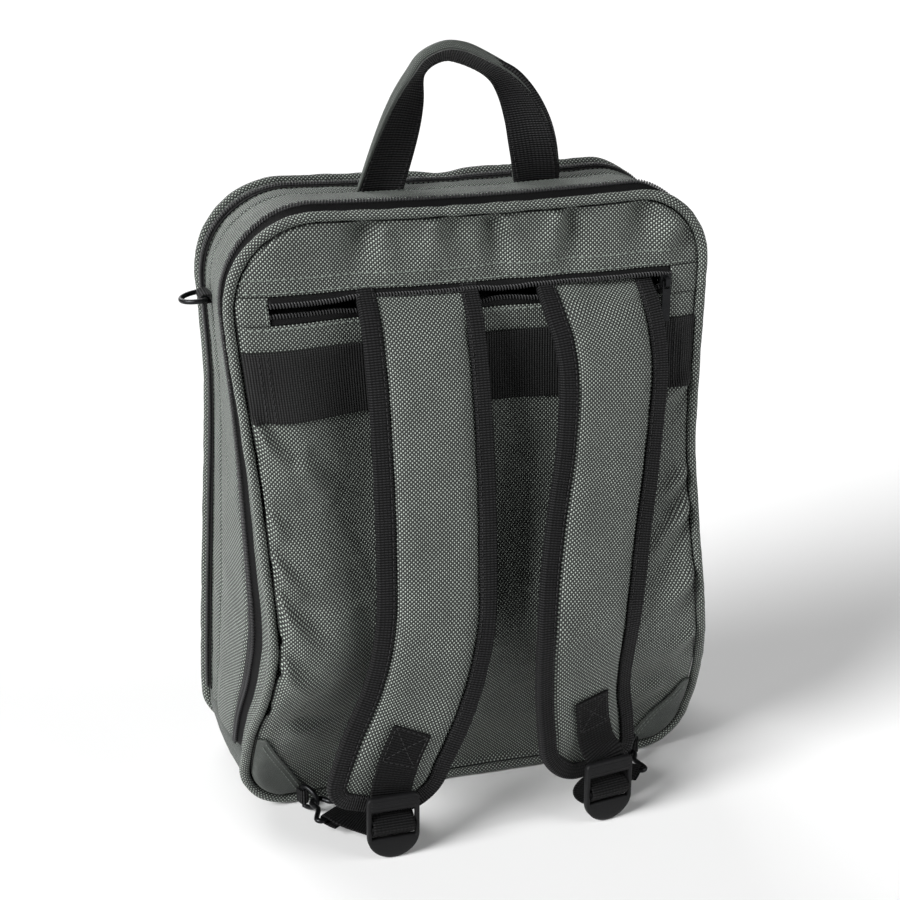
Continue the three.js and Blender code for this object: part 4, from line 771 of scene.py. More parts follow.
def long_zip(name, middle, node, top, lap=0.0):
    """The zip's tape and coils. Towards the back the tape may lap over the next band."""
    half = ZIP_TAPE_WIDTH / 2 - GAP / 2
    s = arclength(UPPER)[:, None]
    t = np.array([-1, -0.96, -0.7, -0.45, -0.24, 0, 0.24, 0.45, 0.7, 0.96, 1])[None] * half
    t[0, :3] -= np.array([lap, lap * 0.96, lap * 0.5])
    rise = standing(UPPER, top, ZIP_SIDE)
    slope = 1 - 0.8 * ramp(-t, half * 0.5, half + 3) if lap else 1.0
    face = -0.55 - 0.35 * bump(t / 0.7) + 0.15 * soft_noise(s, t, 14, 31) + rise * slope
    out = np.concatenate([face, (face - 1.0)[:, ::-1]], 1)
    y = middle + np.concatenate([t, t[:, ::-1]], 1)
    parts = [loft(name + "_tape", run(UPPER, out, y), zip_tape, caps="pairs")]
    for row in (-COIL_ROW, COIL_ROW):
        path = run(UPPER, rise + 0.35, middle + row)[:, 0]
        outward = unit(run(UPPER, rise + 1.35, middle + row)[:, 0] - path)
        parts.append(coil(name + "_coil", path, outward, np.cross(unit(np.gradient(path, axis=0)), outward)))
    return dress(join(name, *parts), [node], "black_tape")

long_zip("back_zip", BACK_ZIP_Y, "back_zipper", ZIP_TOP, lap=ZIP_LAP)
long_zip("front_zip", FRONT_ZIP_Y, "front_zipper", FRONT_ZIP_TOP)
print("each long zip has about", int(arclength(UPPER)[-1] / COIL_PITCH), "teeth a side")

# %% [markdown]
# The slot of the back pocket is a zip left open. Its two tapes stand apart, each with its row of
# coil along the free edge, and the lining shows dark between them.

# %% The open zip of the back pocket
STRAP_MIDDLES = (-34.0, 73.0)

def slot_tape(name, seam, tip, flare, node, shift):
    """A tape from the cloth's edge to its free edge, which stands off the panel by flare."""
    x = np.linspace(-SLOT_HALF, SLOT_HALF, 160)[:, None]
    t = np.linspace(0, 1, 8)[None]
    wave = soft_noise(x, t * 3, 16, shift) * 0.35 * t
    clear = 1.0
    for strap in STRAP_MIDDLES:
        clear = clear * ramp(np.abs(x - strap), PAD_WIDTH / 2 + 1, PAD_WIDTH / 2 + 14)
    z = seam + (tip - seam) * t * (1 + 0.35 * clear) + 0 * x
    place = back_face(x + 0 * t, z)
    place[..., 1] += 0.5 + (flare - 0.5) * ramp(t, 0, 1) + wave
    behind = place.copy()
    behind[..., 1] += 0.9
    tape = loft(name + "_cloth", np.concatenate([place, behind[:, ::-1]], 1), zip_tape, caps="pairs")
    edge = place[:, -1] + np.array([0, 0.2, 0])
    out, across = (np.tile(way, (len(edge), 1)) for way in ([0.0, -1.0, 0.0], [0.0, 0.0, 1.0]))
    teeth = coil(name + "_coil", edge, out, across, half_width=1.35, half_height=0.95, wire=0.46)
    return dress(join(name, tape, teeth), [node], "black_tape")

slot_tape("slot_zip_upper", SLOT_HIGH, SLOT_HIGH - SLOT_TAPE, -2.0, "slot_tape_upper", 41)
slot_tape("slot_zip_lower", SLOT_LOW, SLOT_LOW + SLOT_TAPE, 1.4, "slot_tape_lower", 43)

def pocket_lining():
    """The lining bag behind the slot, open towards the wearer between the two tapes."""
    roof, floor = SLOT_HIGH + LINING_RISE, SLOT_LOW - LINING_DROP
    deep, front = LINING_DEPTH, CLOTH + LINING_CLEAR
    path = [(front, roof), (deep, roof), (deep, SLOT_LOW + 4), (deep, SLOT_LOW - 30), (deep, floor),
            (front + 1, floor), (front + 1, SLOT_LOW - 30), (front + 1, SLOT_LOW - 1),
            (front + 2, SLOT_LOW - 1), (front + 2, SLOT_LOW - 30), (front + 2, floor + 1),
            (deep - 1, floor + 1), (deep - 1, SLOT_LOW - 30), (deep - 1, SLOT_LOW + 4),
            (deep - 1, roof - 1), (front, roof - 1)]
    x = np.linspace(-SLOT_HALF, SLOT_HALF, 60)[:, None]
    behind, z = np.array(path)[None, :, 0], np.array(path)[None, :, 1]
    place = back_face(x, z + 0 * x)
    place[..., 1] += behind
    return loft("pocket_lining_cloth", place, lining_cloth, sharp=50)

dress(pocket_lining(), ["pocket_lining"], "lining")
print("the slot is", 2 * SLOT_HALF, "mm wide")

# %% [markdown]
# A wide elastic band crosses the back so that the bag slides over the handle of a suitcase. It is
# sewn in at both sides and lies on the panel with both long edges free.

# %% The luggage band
def luggage_band():
    shares = np.array([0, 0.012, 0.05, 0.12, 0.25, 0.4, 0.5, 0.6, 0.75, 0.88, 0.95, 0.988, 1])
    heights = BAND_LOW + BAND_HEIGHT * shares
    left, right = (panel_edge(side, heights, PANEL_INSET + GAP) for side in (-1, 1))
    t = np.linspace(0, 1, 141)
    x = left[:, None] + (right - left)[:, None] * t
    z = np.repeat(heights[:, None], 141, 1)
    rim = np.minimum(heights - BAND_LOW, BAND_LOW + BAND_HEIGHT - heights)[:, None]
    lift = 0.35 + 0.6 * np.sin(np.pi * t)[None] ** 0.5 * np.exp(-rim / 9) + 0.25 * soft_noise(x, z, 30, 51)
    curl = 0.4 * np.maximum(0, 1 - rim / 1.2)
    outer, inner = back_face(x, z), back_face(x, z)
    outer[..., 1] -= GAP + BAND_THICK + lift - curl
    inner[..., 1] -= GAP + np.maximum(0, lift - 0.3)
    return two_faced("luggage_band", outer, inner, z, x, band_cloth)

dress(luggage_band(), ["sleeve_band"], "black_webbing")
print("luggage band is", BAND_HEIGHT, "mm tall")

# %% [markdown]
# Each shoulder strap is a padded tongue of body cloth, its edge wrapped in folded black tape. Its
# course is a smooth curve through a few places down the bag, and every point of the pad is set out
# from that curve: along it, across it, and out of its face.

# %% The straps' courses
STRAPS = {
    "left": {
        "side": -1,
        "height": (0.9075, 0.862, 0.838, 0.81, 0.75, 0.63, 0.5, 0.365, 0.257, 0.162, 0.07),
        "across": (-0.236, -0.236, -0.236, -0.235, -0.231, -0.232, -0.242, -0.267, -0.338, -0.45, -0.53),
        "ahead": (0.468, 0.63, 0.711, 0.764, 0.832, 0.945, 1.065, 1.167, 1.206, 1.242, 1.26),
        "turn": (0, 0, 0, 0, 0, 0, 0, 0, 1, 3, 4),
    },
    "right": {
        "side": 1,
        "height": (0.9075, 0.862, 0.838, 0.805, 0.738, 0.62, 0.495, 0.35, 0.21, 0.143, 0.07),
        "across": (0.505, 0.507, 0.515, 0.535, 0.548, 0.512, 0.44, 0.379, 0.388, 0.405, 0.415),
        "ahead": (0.462, 0.618, 0.708, 0.77, 0.848, 0.965, 1.11, 1.25, 1.18, 1.18, 1.19),
        "turn": (2, 2, 3, 6, 9, 13, 12, 13, 20, 19, 19),
    },
}
LOCKS = {"left": (-0.481, 1.275, 0.0), "right": (0.455, 1.25, 9.0)}

def smooth_curve(points, per_span=60):
    """A centripetal Catmull-Rom curve through points, sampled densely."""
    p = np.asarray(points, float)
    p = np.concatenate([[2 * p[0] - p[1]], p, [2 * p[-1] - p[-2]]])
    out = []
    t = np.linspace(0, 1, per_span + 1)[:-1, None]
    for i in range(1, len(p) - 2):
        d0, d1, d2 = (max(1e-4, np.linalg.norm(p[i + k] - p[i + k - 1]) ** 0.5) for k in (0, 1, 2))
        m1 = ((p[i] - p[i - 1]) / d0 - (p[i + 1] - p[i - 1]) / (d0 + d1) + (p[i + 1] - p[i]) / d1) * d1
        m2 = ((p[i + 1] - p[i]) / d1 - (p[i + 2] - p[i]) / (d1 + d2) + (p[i + 2] - p[i + 1]) / d2) * d1
        rise = p[i + 1] - p[i]
        out.append(p[i] + t * (m1 + t * (3 * rise - 2 * m1 - m2 + t * (m1 + m2 - 2 * rise))))
    out.append(p[-2][None])
    return np.concatenate(out)

class Course:
    """A strap's course: its middle line with the directions along, across and out of the pad."""

    def __init__(self, strap):
        turn = np.radians(strap["turn"])
        face = np.stack([np.sin(turn), -np.cos(turn), 0 * turn], 1)
        front = np.stack([np.array(strap["across"]) * WIDTH / 2, -np.array(strap["ahead"]) * DEPTH,
                          np.array(strap["height"]) * HEIGHT], 1)
        self.line = smooth_curve(front - face * PAD_FRONT)
        self.s = distance_along(self.line)
        self.length = float(self.s[-1])
        self.tangent = np.gradient(self.line, axis=0)
        self.strap = strap

    def at(self, s, q, h):
        """Points at s along, q across and h out of the face; the three broadcast together."""
        s, q, h = np.broadcast_arrays(np.asarray(s, float), np.asarray(q, float), np.asarray(h, float))
        past = np.clip(s, 0, self.length)
        middle, along = picked(past, self.s, self.line), unit(picked(past, self.s, self.tangent))
        turn = np.radians(read(self.strap, "turn", middle[..., 2] / HEIGHT))
        across = np.stack([np.cos(turn), np.sin(turn), 0 * turn], -1)
        across = unit(across - along * (across * along).sum(-1, keepdims=True))
        out = np.cross(along, across)
        middle = middle + along * (s - past)[..., None]
        return middle + across * q[..., None] + out * h[..., None]

COURSES = {name: Course(strap) for name, strap in STRAPS.items()}
TRIM = BINDING + GAP
for name, course in COURSES.items():
    print(name, "strap pad runs", round(course.length), "mm")

def pad_half(s, length, around):
    past = np.maximum(0, s - (length - around))
    return PAD_WIDTH / 2 - around + np.sqrt(np.maximum(0, around * around - past * past))

def rounds(name):
    """The corner radii of a pad's foot, left then right."""
    pair = PAD_OUTER_ROUND, PAD_INNER_ROUND
    return pair if STRAPS[name]["side"] < 0 else pair[::-1]

# %% [markdown]
# Foam fills the pad, so its face is crowned and drops to a flat rim where the binding grips it.
# Shallow folds cross it where it bends over into the slot, and low dents follow the stuffing.

# %% Strap pads
PAD_DENTS = {
    "strap": ("right", "right", "right", "left", "left", "left", "left"),
    "along": (239, 259, 120, 180, 262, 292, 95),
    "across": (-8, 10, -10, 12, 4, -8, -12),
    "wide": (27, 22, 18, 17, 19, 15, 16),
    "tall": (6.5, 6.0, 12, 14, 11, 9, 12),
    "deep": (1.4, 1.2, 0.8, 1.1, 1.2, 0.9, 0.8),
}

def pad_face(s, q, left, right, body, front, name):
    """Height of the pad's face over its middle surface, crowned between the bindings."""
    seed = 60 if name == "left" else 70
    rim = np.minimum(BINDING_WIDTH, left * 0.4)
    inside = np.minimum(q + left, right - q) - rim + 2.5
    full = ramp(s, 22, 60) * ramp(body - s, 8, 40)
    rise = np.sqrt(np.clip(1 - (1 - np.clip(inside / 12.0, 0, 1)) ** 2, 0, 1))
    level = PAD_RIM + (front - PAD_RIM) * full * rise
    dome = 0.9 * full * np.clip(inside / 24, 0, 1)
    dents = soft_noise(s, q, 38, seed) * 0.8 + soft_noise(s, q, 17, seed + 1) * 0.3
    dents = dents - crease(s, q * 0.35, 44, seed + 2) * 0.8
    edge_pull = soft_noise(s, q * 0.2, 10, seed + 4) * 0.35 * np.exp(-np.maximum(inside, 0) / 4)
    bend = bump((s - 30) / 16) * np.sin(s * 0.75) * 0.3
    for strap, along, across, wide, tall, deep in zip(*PAD_DENTS.values()):
        if strap == name:
            dents = dents - deep * np.exp(-((q - across) / wide) ** 2 - ((s - along) / tall) ** 2)
    return level + dome - 0.4 * full + rise * (dents * 0.8 + bend) + edge_pull * full

def strap_pad(name):
    course = COURSES[name]
    around = rounds(name)
    body = course.length - TRIM
    foot = body - 12 * (1 - np.sin(np.linspace(0, math.pi / 2, 14)))
    s = np.concatenate([np.arange(0, body - 12, 2.2), foot])
    left = (pad_half(s, body, around[0] - TRIM) - TRIM - 0.5)[:, None]
    right = (pad_half(s, body, around[1] - TRIM) - TRIM - 0.5)[:, None]
    t = (1 - np.cos(np.linspace(0, math.pi, 47))) / 2
    t = 0.35 * t + 0.65 * np.linspace(0, 1, 47)
    q = -left + (left + right) * t[None]
    rows = s[:, None]
    front = pad_face(rows, q, left, right, body, PAD_FRONT, name)
    rear = -pad_face(rows + 300, q, left, right, body + 300, PAD_BACK, name)
    rear = np.where(rows < 60, -PAD_RIM - 0.2, np.minimum(rear, -PAD_RIM - 0.2))
    faces = course.at(rows, q, front), course.at(rows, q, rear)
    piece = two_faced(f"strap_pad_{name}_cloth", *faces, q, np.broadcast_to(rows, q.shape), body_cloth)
    dress(piece, [f"strap_pad_{name}"], "nylon")
    return body

BODY = {name: strap_pad(name) for name in STRAPS}

def edge_walk(name, step=2.4):
    """Down one edge of the pad, round its foot and up the other: place and outward direction."""
    around, body = rounds(name), BODY[name]
    out = []
    for sign, r0 in ((-1, around[0]), (1, around[1])):
        r = r0 - TRIM
        s = np.arange(0, body - r, step)
        side = [(v, sign * (PAD_WIDTH / 2 - TRIM), 0.0, float(sign)) for v in s]
        angle = np.linspace(0, math.pi / 2, 16)
        side += [(body - r + r * math.sin(a), sign * (PAD_WIDTH / 2 - TRIM - r + r * math.cos(a)), math.sin(a),
                  sign * math.cos(a)) for a in angle]
        out.append(side)
    middle = [(body, q, 1.0, 0.0) for q in np.linspace(out[0][-1][1], out[1][-1][1], 9)[1:-1]]
    return np.array(out[0] + middle + out[1][::-1])

# %% [markdown]
# The binding is a ribbed tape folded over the edge of the pad. It ripples a little, more so round
# the corners of the foot, and one row of stitches holds it close to its inner edge.

# %% Binding tape
def strap_binding(name):
    course, walk = COURSES[name], edge_walk(name)
    seed = 80 if name == "left" else 85
    s, q, ds, dq = walk.T
    run_length = np.concatenate([[0], np.cumsum(np.hypot(np.diff(s), np.diff(q)))])[:, None]
    lap = BINDING_WIDTH - TRIM - 1
    inner, outer = PAD_RIM + GAP, PAD_RIM + GAP + BINDING
    angle = np.linspace(math.pi / 2, -math.pi / 2, 9)
    over = [(-lap, outer - 0.5), (-lap + 0.5, outer), (-lap * 0.55, outer + 0.12), (-lap * 0.25, outer + 0.1),
            (0.0, outer)]
    turn = [(0.2 + (TRIM - 0.2) * math.cos(a), outer * math.sin(a)) for a in angle]
    under = [(0.0, -outer), (-lap * 0.5, -outer - 0.1), (-lap + 0.5, -outer), (-lap, -outer + 0.5)]
    inside = [(-lap, -inner), (GAP, -inner), (GAP, inner), (-lap, inner)]
    wrap = np.array(over + turn + under + inside)
    reach, h = wrap[None, :, 0] + 0 * run_length, wrap[None, :, 1] + 0 * run_length
    shell = np.abs(wrap[None, :, 1]) > inner + 0.3
    ripple = soft_noise(run_length, reach * 0.4, 7.5, seed) * 0.28
    ripple = ripple + soft_noise(run_length, reach, 26, seed + 2) * 0.25
    h = h + np.sign(h) * np.where(shell, ripple * ramp(-reach, -1, 3) + 0.1, 0)
    sway = soft_noise(run_length, 0, 12, seed + 4) * 0.35
    reach = reach + np.where(wrap[None, :, 0] < -lap * 0.9, sway, 0)
    rings = course.at(s[:, None] + ds[:, None] * reach, q[:, None] + dq[:, None] * reach, h)
    piece = loft(f"strap_binding_{name}_tape", rings, webbing)
    return dress(piece, [f"strap_binding_{name}"], "black_webbing")

for name in STRAPS:
    strap_binding(name)
print("strap pads and bindings:", len(BODY))

# %% [markdown]
# Stitches are short capsules of thread laid along a line, a gap after each. They are all modelled,
# so that the rows stand out from any side, and each row sinks a little into its cloth.

# %% Stitches
def stitches(points, out, length=2.6, gap=0.9, wide=0.32, high=0.26):
    """Capsules along a path in millimetres, out being the cloth's outward direction there."""
    points, out = np.asarray(points, float), np.asarray(out, float)
    s = distance_along(points)
    starts = np.arange(0, s[-1] - length, length + gap)
    share = np.array([0.0, 0.12, 0.35, 0.65, 0.88, 1.0])
    fat = np.array([0.25, 0.8, 1.0, 1.0, 0.8, 0.25])
    lift = np.array([-0.15, 0.05, 0.16, 0.16, 0.05, -0.15])
    at = starts[:, None] + length * share[None]
    normal = unit(picked(at, s, out))
    along = unit(picked(starts + length, s, points) - picked(starts, s, points))
    side = np.cross(along[:, None], normal)
    centre = picked(at, s, points) + normal * lift[None, :, None]
    angle, fat = np.linspace(0, 2 * np.pi, 7)[:-1, None], fat[None, :, None, None]
    return (centre[:, :, None] + side[:, :, None] * (np.cos(angle) * wide) * fat
            + normal[:, :, None] * (np.sin(angle) * high) * fat)

class Seams:
    """Collects rows of stitches in one thread into one mesh."""

    def __init__(self, name, material, finish):
        self.name, self.material, self.finish, self.rings = name, material, finish, []

    def row(self, points, out, **sizes):
        self.rings.append(stitches(points, out, **sizes))

    def make(self):
        rings = np.concatenate(self.rings)
        count, rows, cols = rings.shape[:3]
        one = []
        for r in range(rows - 1):
            for c in range(cols):
                d = (c + 1) % cols
                one.append([r * cols + c, r * cols + d, (r + 1) * cols + d, (r + 1) * cols + c])
        one = np.array(one)
        quads = (one[None] + (np.arange(count) * rows * cols)[:, None, None]).reshape(-1, 4).tolist()
        ends = []
        for i in range(count):
            start = i * rows * cols
            ends.append([start + c for c in range(cols)][::-1])
            ends.append([start + (rows - 1) * cols + c for c in range(cols)])
        piece = mesh_piece(self.name, rings.reshape(-1, 3), quads + ends, None, self.material)
        print(self.name, "has", count, "stitches")
        return dress(piece, [], self.finish)

green_seams = Seams("green_stitching", green_thread, "nylon")
black_seams = Seams("black_stitching", black_thread, "black_webbing")
for name in STRAPS:
    course, walk = COURSES[name], edge_walk(name)
    s, q, ds, dq = walk.T
    inset = BINDING_WIDTH - TRIM - 1 - 1.6
    high = PAD_RIM + GAP + BINDING + 0.15
    for side in (1, -1):
        line = course.at(s - ds * inset, q - dq * inset, side * high)
        above = course.at(s - ds * inset, q - dq * inset, side * (high + 1))
        black_seams.row(line, above - line)

def face_row(seams, x, z, near=0.0, **sizes):
    """A row of stitches near millimetres in front of the back panel."""
    line = back_face(x, z)
    line[..., 1] -= near
    seams.row(line, np.tile([0.0, -1.0, 0.0], (len(line), 1)), **sizes)

LONG_STITCH = {"length": 3.2, "gap": 1.3, "wide": 0.42, "high": 0.36}
for level in (SLOT_HIGH + 2.0, SLOT_HIGH + 9.5, SLOT_LOW - 2.2):
    face_row(green_seams, np.linspace(-SLOT_HALF - 13, SLOT_HALF + 13, 200), level, **LONG_STITCH)
slot_z = np.linspace(SLOT_LOW + 0.8, SLOT_HIGH - 0.8, 12)
band_z = np.linspace(BAND_LOW + 1.5, BAND_LOW + BAND_HEIGHT - 1.5, 30)
for side in (-1, 1):
    face_row(green_seams, side * (SLOT_HALF + 1.8), slot_z, near=PATCH_RISE)
    for inset in (9.0, 14.0):
        face_row(black_seams, panel_edge(side, band_z) - side * inset, band_z, near=2.3)
print("rows of stitches so far:", len(green_seams.rings) + len(black_seams.rings))

# %% [markdown]
# Below each pad a webbing tab holds a ladder lock, a moulded frame with bars. The adjusting webbing
# comes up behind it, goes over its middle bar, and runs back to a hook at the bag's lower corner.

# %% Ladder locks
LOCK_WIDTH, LOCK_HEIGHT, LOCK_THICK, LOCK_FOOT = 31.5, 41.0, 4.5, 0.6
LOCK_SIDE, LOCK_ROUND, LOCK_CORNER = 0.7, 15.0, 3.0
LOCK_LOWER, LOCK_BAR, LOCK_BAR_HALF, LOCK_UPPER = 12.0, 20.8, 1.6, 31.5
LOCK_SILL = LOCK_LOWER + 1.6

def lock_place(name):
    """Turns points beside the lock, x across, y behind its face, z up, into the row frame."""
    across, ahead, turn = LOCKS[name]
    a = math.radians(turn)
    corner = np.array([across * WIDTH / 2, -ahead * DEPTH, LOCK_FOOT])
    matrix = np.array([[math.cos(a), -math.sin(a), 0], [math.sin(a), math.cos(a), 0], [0, 0, 1]])
    return lambda x, y, z: np.stack(np.broadcast_arrays(x, y, z), -1).astype(float) @ matrix.T + corner

def lock_frame(name):
    """The lock's outer frame: a rounded section swept round between outline and window."""
    place = lock_place(name)
    half, low = LOCK_WIDTH / 2, LOCK_ROUND
    a, b = np.linspace(math.pi, 2 * math.pi, 40), np.linspace(0, math.pi / 2, 8)
    shoulder_x, shoulder_z = half - LOCK_CORNER, LOCK_HEIGHT - LOCK_CORNER
    foot = np.stack([half * np.cos(a), low + low * np.sin(a)], 1)
    side = np.stack([np.full(12, half), np.linspace(low, shoulder_z, 14)[1:-1]], 1)
    corner = np.stack([shoulder_x + LOCK_CORNER * np.cos(b), shoulder_z + LOCK_CORNER * np.sin(b)], 1)
    top = np.stack([np.linspace(shoulder_x, -shoulder_x, 12)[1:-1], np.full(10, LOCK_HEIGHT)], 1)
    mirrored = lambda points: points[::-1] * (-1, 1)
    outline = np.concatenate([foot, side, corner, top, mirrored(corner), mirrored(side)])
    reach = WEBBING_WIDTH / 2 + LOCK_SIDE
    window = np.clip(outline, (-reach, LOCK_SILL), (reach, LOCK_UPPER))
    lip = np.clip((LOCK_LOWER - outline[:, 1]) / LOCK_LOWER, 0, 1)
    round_to, thick = 0.9, LOCK_THICK
    section = ((0, thick - round_to), (0, round_to), (0.12, 0.25), (0.3, 0), (0.62, 0), (0.88, 0.25),
               (1, round_to), (1, thick - round_to), (0.88, thick - 0.2), (0.62, thick), (0.3, thick),
               (0.1, thick - 0.25))
    rings = []
    for t, y in section:
        p = outline + (window - outline) * t
        face = max(0.0, 1 - y / LOCK_THICK)
        sunk = 1.5 * face * np.sin(math.pi * np.clip(t * 1.15, 0, 1)) * lip ** 0.6 if 0 < t < 1 else 0
        rings.append(place(p[:, 0], sunk - y, p[:, 1]))
    rings = np.stack(rings, 1)
    return loft(f"lock_frame_{name}", rings, moulded, closed=True)

def lock_bar(name, z, half_z, low_y, high_y):
    place = lock_place(name)
    reach = WEBBING_WIDTH / 2 + LOCK_SIDE + 0.6
    x = np.linspace(-reach, reach, 16)[:, None]
    a = np.linspace(0, 2 * math.pi, 17)[:-1][None]
    power = lambda v: np.sign(v) * np.abs(v) ** 0.6
    y = -(low_y + high_y) / 2 + (high_y - low_y) / 2 * power(np.cos(a))
    return loft(f"lock_bar_{name}", place(x, y, z + half_z * power(np.sin(a))), moulded)

def ladder_lock(name):
    parts = [lock_frame(name), lock_bar(name, LOCK_BAR, LOCK_BAR_HALF, 0.7, 4.0),
             lock_bar(name, LOCK_HEIGHT - 4.4, 3.6, 0.2, 4.3)]
    for ridge in range(3):
        z = LOCK_HEIGHT - 2.2 - 2.3 * ridge
        parts.append(lock_bar(name, z, 0.35, LOCK_THICK - 0.6, LOCK_THICK + 0.15))
    piece = join(f"ladder_lock_{name}", *parts)
    return dress(piece, [f"buckle_{name}"], "black_plastic")

for name in STRAPS:
    ladder_lock(name)
print("ladder locks are", LOCK_WIDTH, "by", LOCK_HEIGHT, "mm")

# %% [markdown]
# Webbing is woven flat, so here it is a ribbon with rounded selvedges that bends only one way.

# %% Webbing ribbons
def ribbon(name, middle, across, width, material=webbing, wave=0.0, seed=0):
    """A ribbon of webbing along middle points, across giving its width direction at each point."""
    dense = smooth_curve(middle, 10)
    k = np.linspace(0, len(middle) - 1, len(dense))
    along = unit(np.gradient(dense, axis=0))
    side = picked(k, np.arange(len(middle)), np.asarray(across, float))
    side = unit(side - along * (side * along).sum(1, keepdims=True))
    out = np.cross(along, side)
    q = np.array([-0.5, -0.485, -0.44, -0.3, -0.15, 0, 0.15, 0.3, 0.44, 0.485, 0.5]) * width
    edge = np.array([0.25, 0.75, 1, 1, 1, 1, 1, 1, 1, 0.75, 0.25])[None] * WEBBING / 2
    drift = wave * soft_noise(distance_along(dense)[:, None], q[None] * 0.5, 18, seed)
    face = lambda rise: dense[:, None] + side[:, None] * q[None, :, None] + out[:, None] * rise[..., None]
    rings = np.concatenate([face(drift + edge), face(drift - edge)[:, ::-1]], 1)
    return loft(name, rings, material, caps="pairs")

def strap_tab(name):
    """The tab from the pad's foot down behind the lock, sewn on with a crossed box."""
    course, body, place = COURSES[name], BODY[name], lock_place(name)
    lock_across = place(1, 0, 0) - place(0, 0, 0)
    pad_across = course.at(body - 40, 1, 0) - course.at(body - 40, 0, 0)
    behind = GAP * 3 + WEBBING / 2
    high = PAD_FRONT + behind + 0.5
    join_at = place(0, behind, LOCK_HEIGHT)
    middle = [course.at(body - 56, 0, high), course.at(body - 38, 0, high),
              course.at(body - 26, 0, high) * 0.75 + join_at * 0.25, join_at, place(0, behind, LOCK_UPPER + 1)]
    across = [pad_across, pad_across, (pad_across + lock_across) / 2, lock_across, lock_across]
    tab = ribbon(f"tab_{name}_webbing", middle, across, WEBBING_WIDTH, shaded_tab_webbing, wave=0.2, seed=91)
    dress(tab, [f"tab_{name}"], "black_webbing")
    a, b, c, d = (-54.5, -10.5), (-54.5, 10.5), (-34.0, 10.5), (-34.0, -10.5)
    for start, end, steps in ((a, b, 12), (b, c, 12), (c, d, 12), (d, a, 12), (a, c, 14), (b, d, 14)):
        t = np.linspace(0, 1, steps)
        s, q = body + start[0] + (end[0] - start[0]) * t, start[1] + (end[1] - start[1]) * t
        line = course.at(s, q, high + WEBBING / 2)
        black_seams.row(line, course.at(s, q, high + 2) - line)

# %% [markdown]
# At each lower corner a wire ring sits in a small loop, a hook clips to it, and the adjusting webbing
# runs from the hook to the lock. Each is laid out from the ring, along the pull towards the lock.

# %% Corner rings, hooks and adjusting webbing
RING_OUT, RING_AHEAD, RING_HIGH = 106.0, -62.0, 9.5
RING_WIRE, RING_BAR, RING_REACH, HOOK_WIRE = 1.5, 7.0, 10.5, 1.6

def corner_hook(name):
    side, place = STRAPS[name]["side"], lock_place(name)
    ring_at = np.array([side * RING_OUT, RING_AHEAD, RING_HIGH])
    pull = unit((place(0, 5, LOCK_LOWER - 3) - ring_at) * (1, 1, 0))
    beside, up = np.array([-pull[1], pull[0], 0]), np.array([0.0, 0.0, 1.0])
    spot = lambda d, p, z: ring_at + pull * d + beside * p + up * z
    turn = np.linspace(math.pi / 2, -math.pi / 2, 25)[1:-1]
    ring = [spot(-5, 0, z) for z in np.linspace(-RING_BAR, RING_BAR, 9)]
    ring += [spot(-4 + RING_REACH * math.cos(v), 0, RING_BAR * math.sin(v)) for v in turn]
    dress(tube(f"corner_ring_{name}_wire", ring, RING_WIRE, gunmetal, beside, 14, closed=True),
          [f"corner_ring_{name}"], "gunmetal")
    r = RING_WIRE + GAP + WEBBING / 2
    bent = r * math.sqrt(0.5)
    loop = [(-9.5, -1.1), (-7.5, -1.8), (-5, -r), (-5 + bent, -bent), (-5 + r, 0), (-5 + bent, bent), (-5, r),
            (-7.5, 1.8), (-9.5, 1.1)]
    loop = [spot(d, p, 0) for d, p in loop]
    dress(ribbon(f"corner_loop_{name}_webbing", loop, [up] * len(loop), 2 * (RING_BAR - RING_WIRE - 1)),
          [f"corner_loop_{name}"], "black_webbing")
    nose = RING_REACH - 4 - RING_WIRE - HOOK_WIRE - GAP
    bar = nose + 20
    wide = WEBBING_WIDTH / 2 + HOOK_WIRE + LOCK_SIDE
    half = [(nose + 1.3, 3.2), (nose + 4.5, 4.5), (nose + 9, 5.5), (bar - 3, wide), (bar, wide - 1)]
    line = [(nose, 0), *half, (bar, 0), *((d, -p) for d, p in half[::-1])]
    hook = [spot(d, p, 0) for d, p in line]
    looped = smooth_curve(hook[-2:] + hook + hook[:2], 8)[16:-16]
    dress(tube(f"hook_{name}_wire", looped[:-1], HOOK_WIRE, gunmetal, up, 14, closed=True),
          [f"hook_{name}"], "gunmetal")
    curl = HOOK_WIRE + GAP + WEBBING / 2
    wrap = [(9, -curl + 0.2), (3, -curl), (-curl * 0.7, -curl * 0.75), (-curl, 0), (-curl * 0.7, curl * 0.75),
            (2, curl), (10, curl - 1)]
    threaded = [(15, LOCK_LOWER - 3.5), (6, LOCK_LOWER - 2.5), (1.9, LOCK_LOWER + 0.6),
                (-2.2, LOCK_LOWER + 3.4), (-5.3, LOCK_BAR - 2.3), (-6.1, LOCK_BAR), (-5.3, LOCK_BAR + 2.3),
                (-2.2, LOCK_BAR + 5.4), (1.2, LOCK_BAR + 6.6)]
    middle = [spot(bar + d, 0, z) for d, z in wrap] + [place(0, y, z) for y, z in threaded]
    across = [beside] * len(wrap) + [place(1, 0, 0) - place(0, 0, 0)] * len(threaded)
    dress(ribbon(f"adjusting_webbing_{name}_woven", middle, across, WEBBING_WIDTH, shaded_tab_webbing),
          [f"adjusting_webbing_{name}"], "black_webbing")

for name in STRAPS:
    strap_tab(name)
    corner_hook(name)
print("tabs, rings, loops, hooks and adjusting webbing:", 5 * len(STRAPS), "pieces")

# %% [markdown]
# A triangle of the same cloth, doubled and edge-stitched, spreads the pull of each lower strap
# into the corner of the back panel.

# %% Corner wings
WING_LOW, WING_HIGH, WING_FOOT, WING_TIP, WING_THICK = 9.0, 62.0, 106.0, 135.0, 1.6

def wing_edge(side, z):
    """The wing's free edge, which slopes out from its foot to its tip."""
    return side * (WING_FOOT + (WING_TIP - WING_FOOT) * (z - WING_LOW) / (WING_HIGH - WING_LOW))

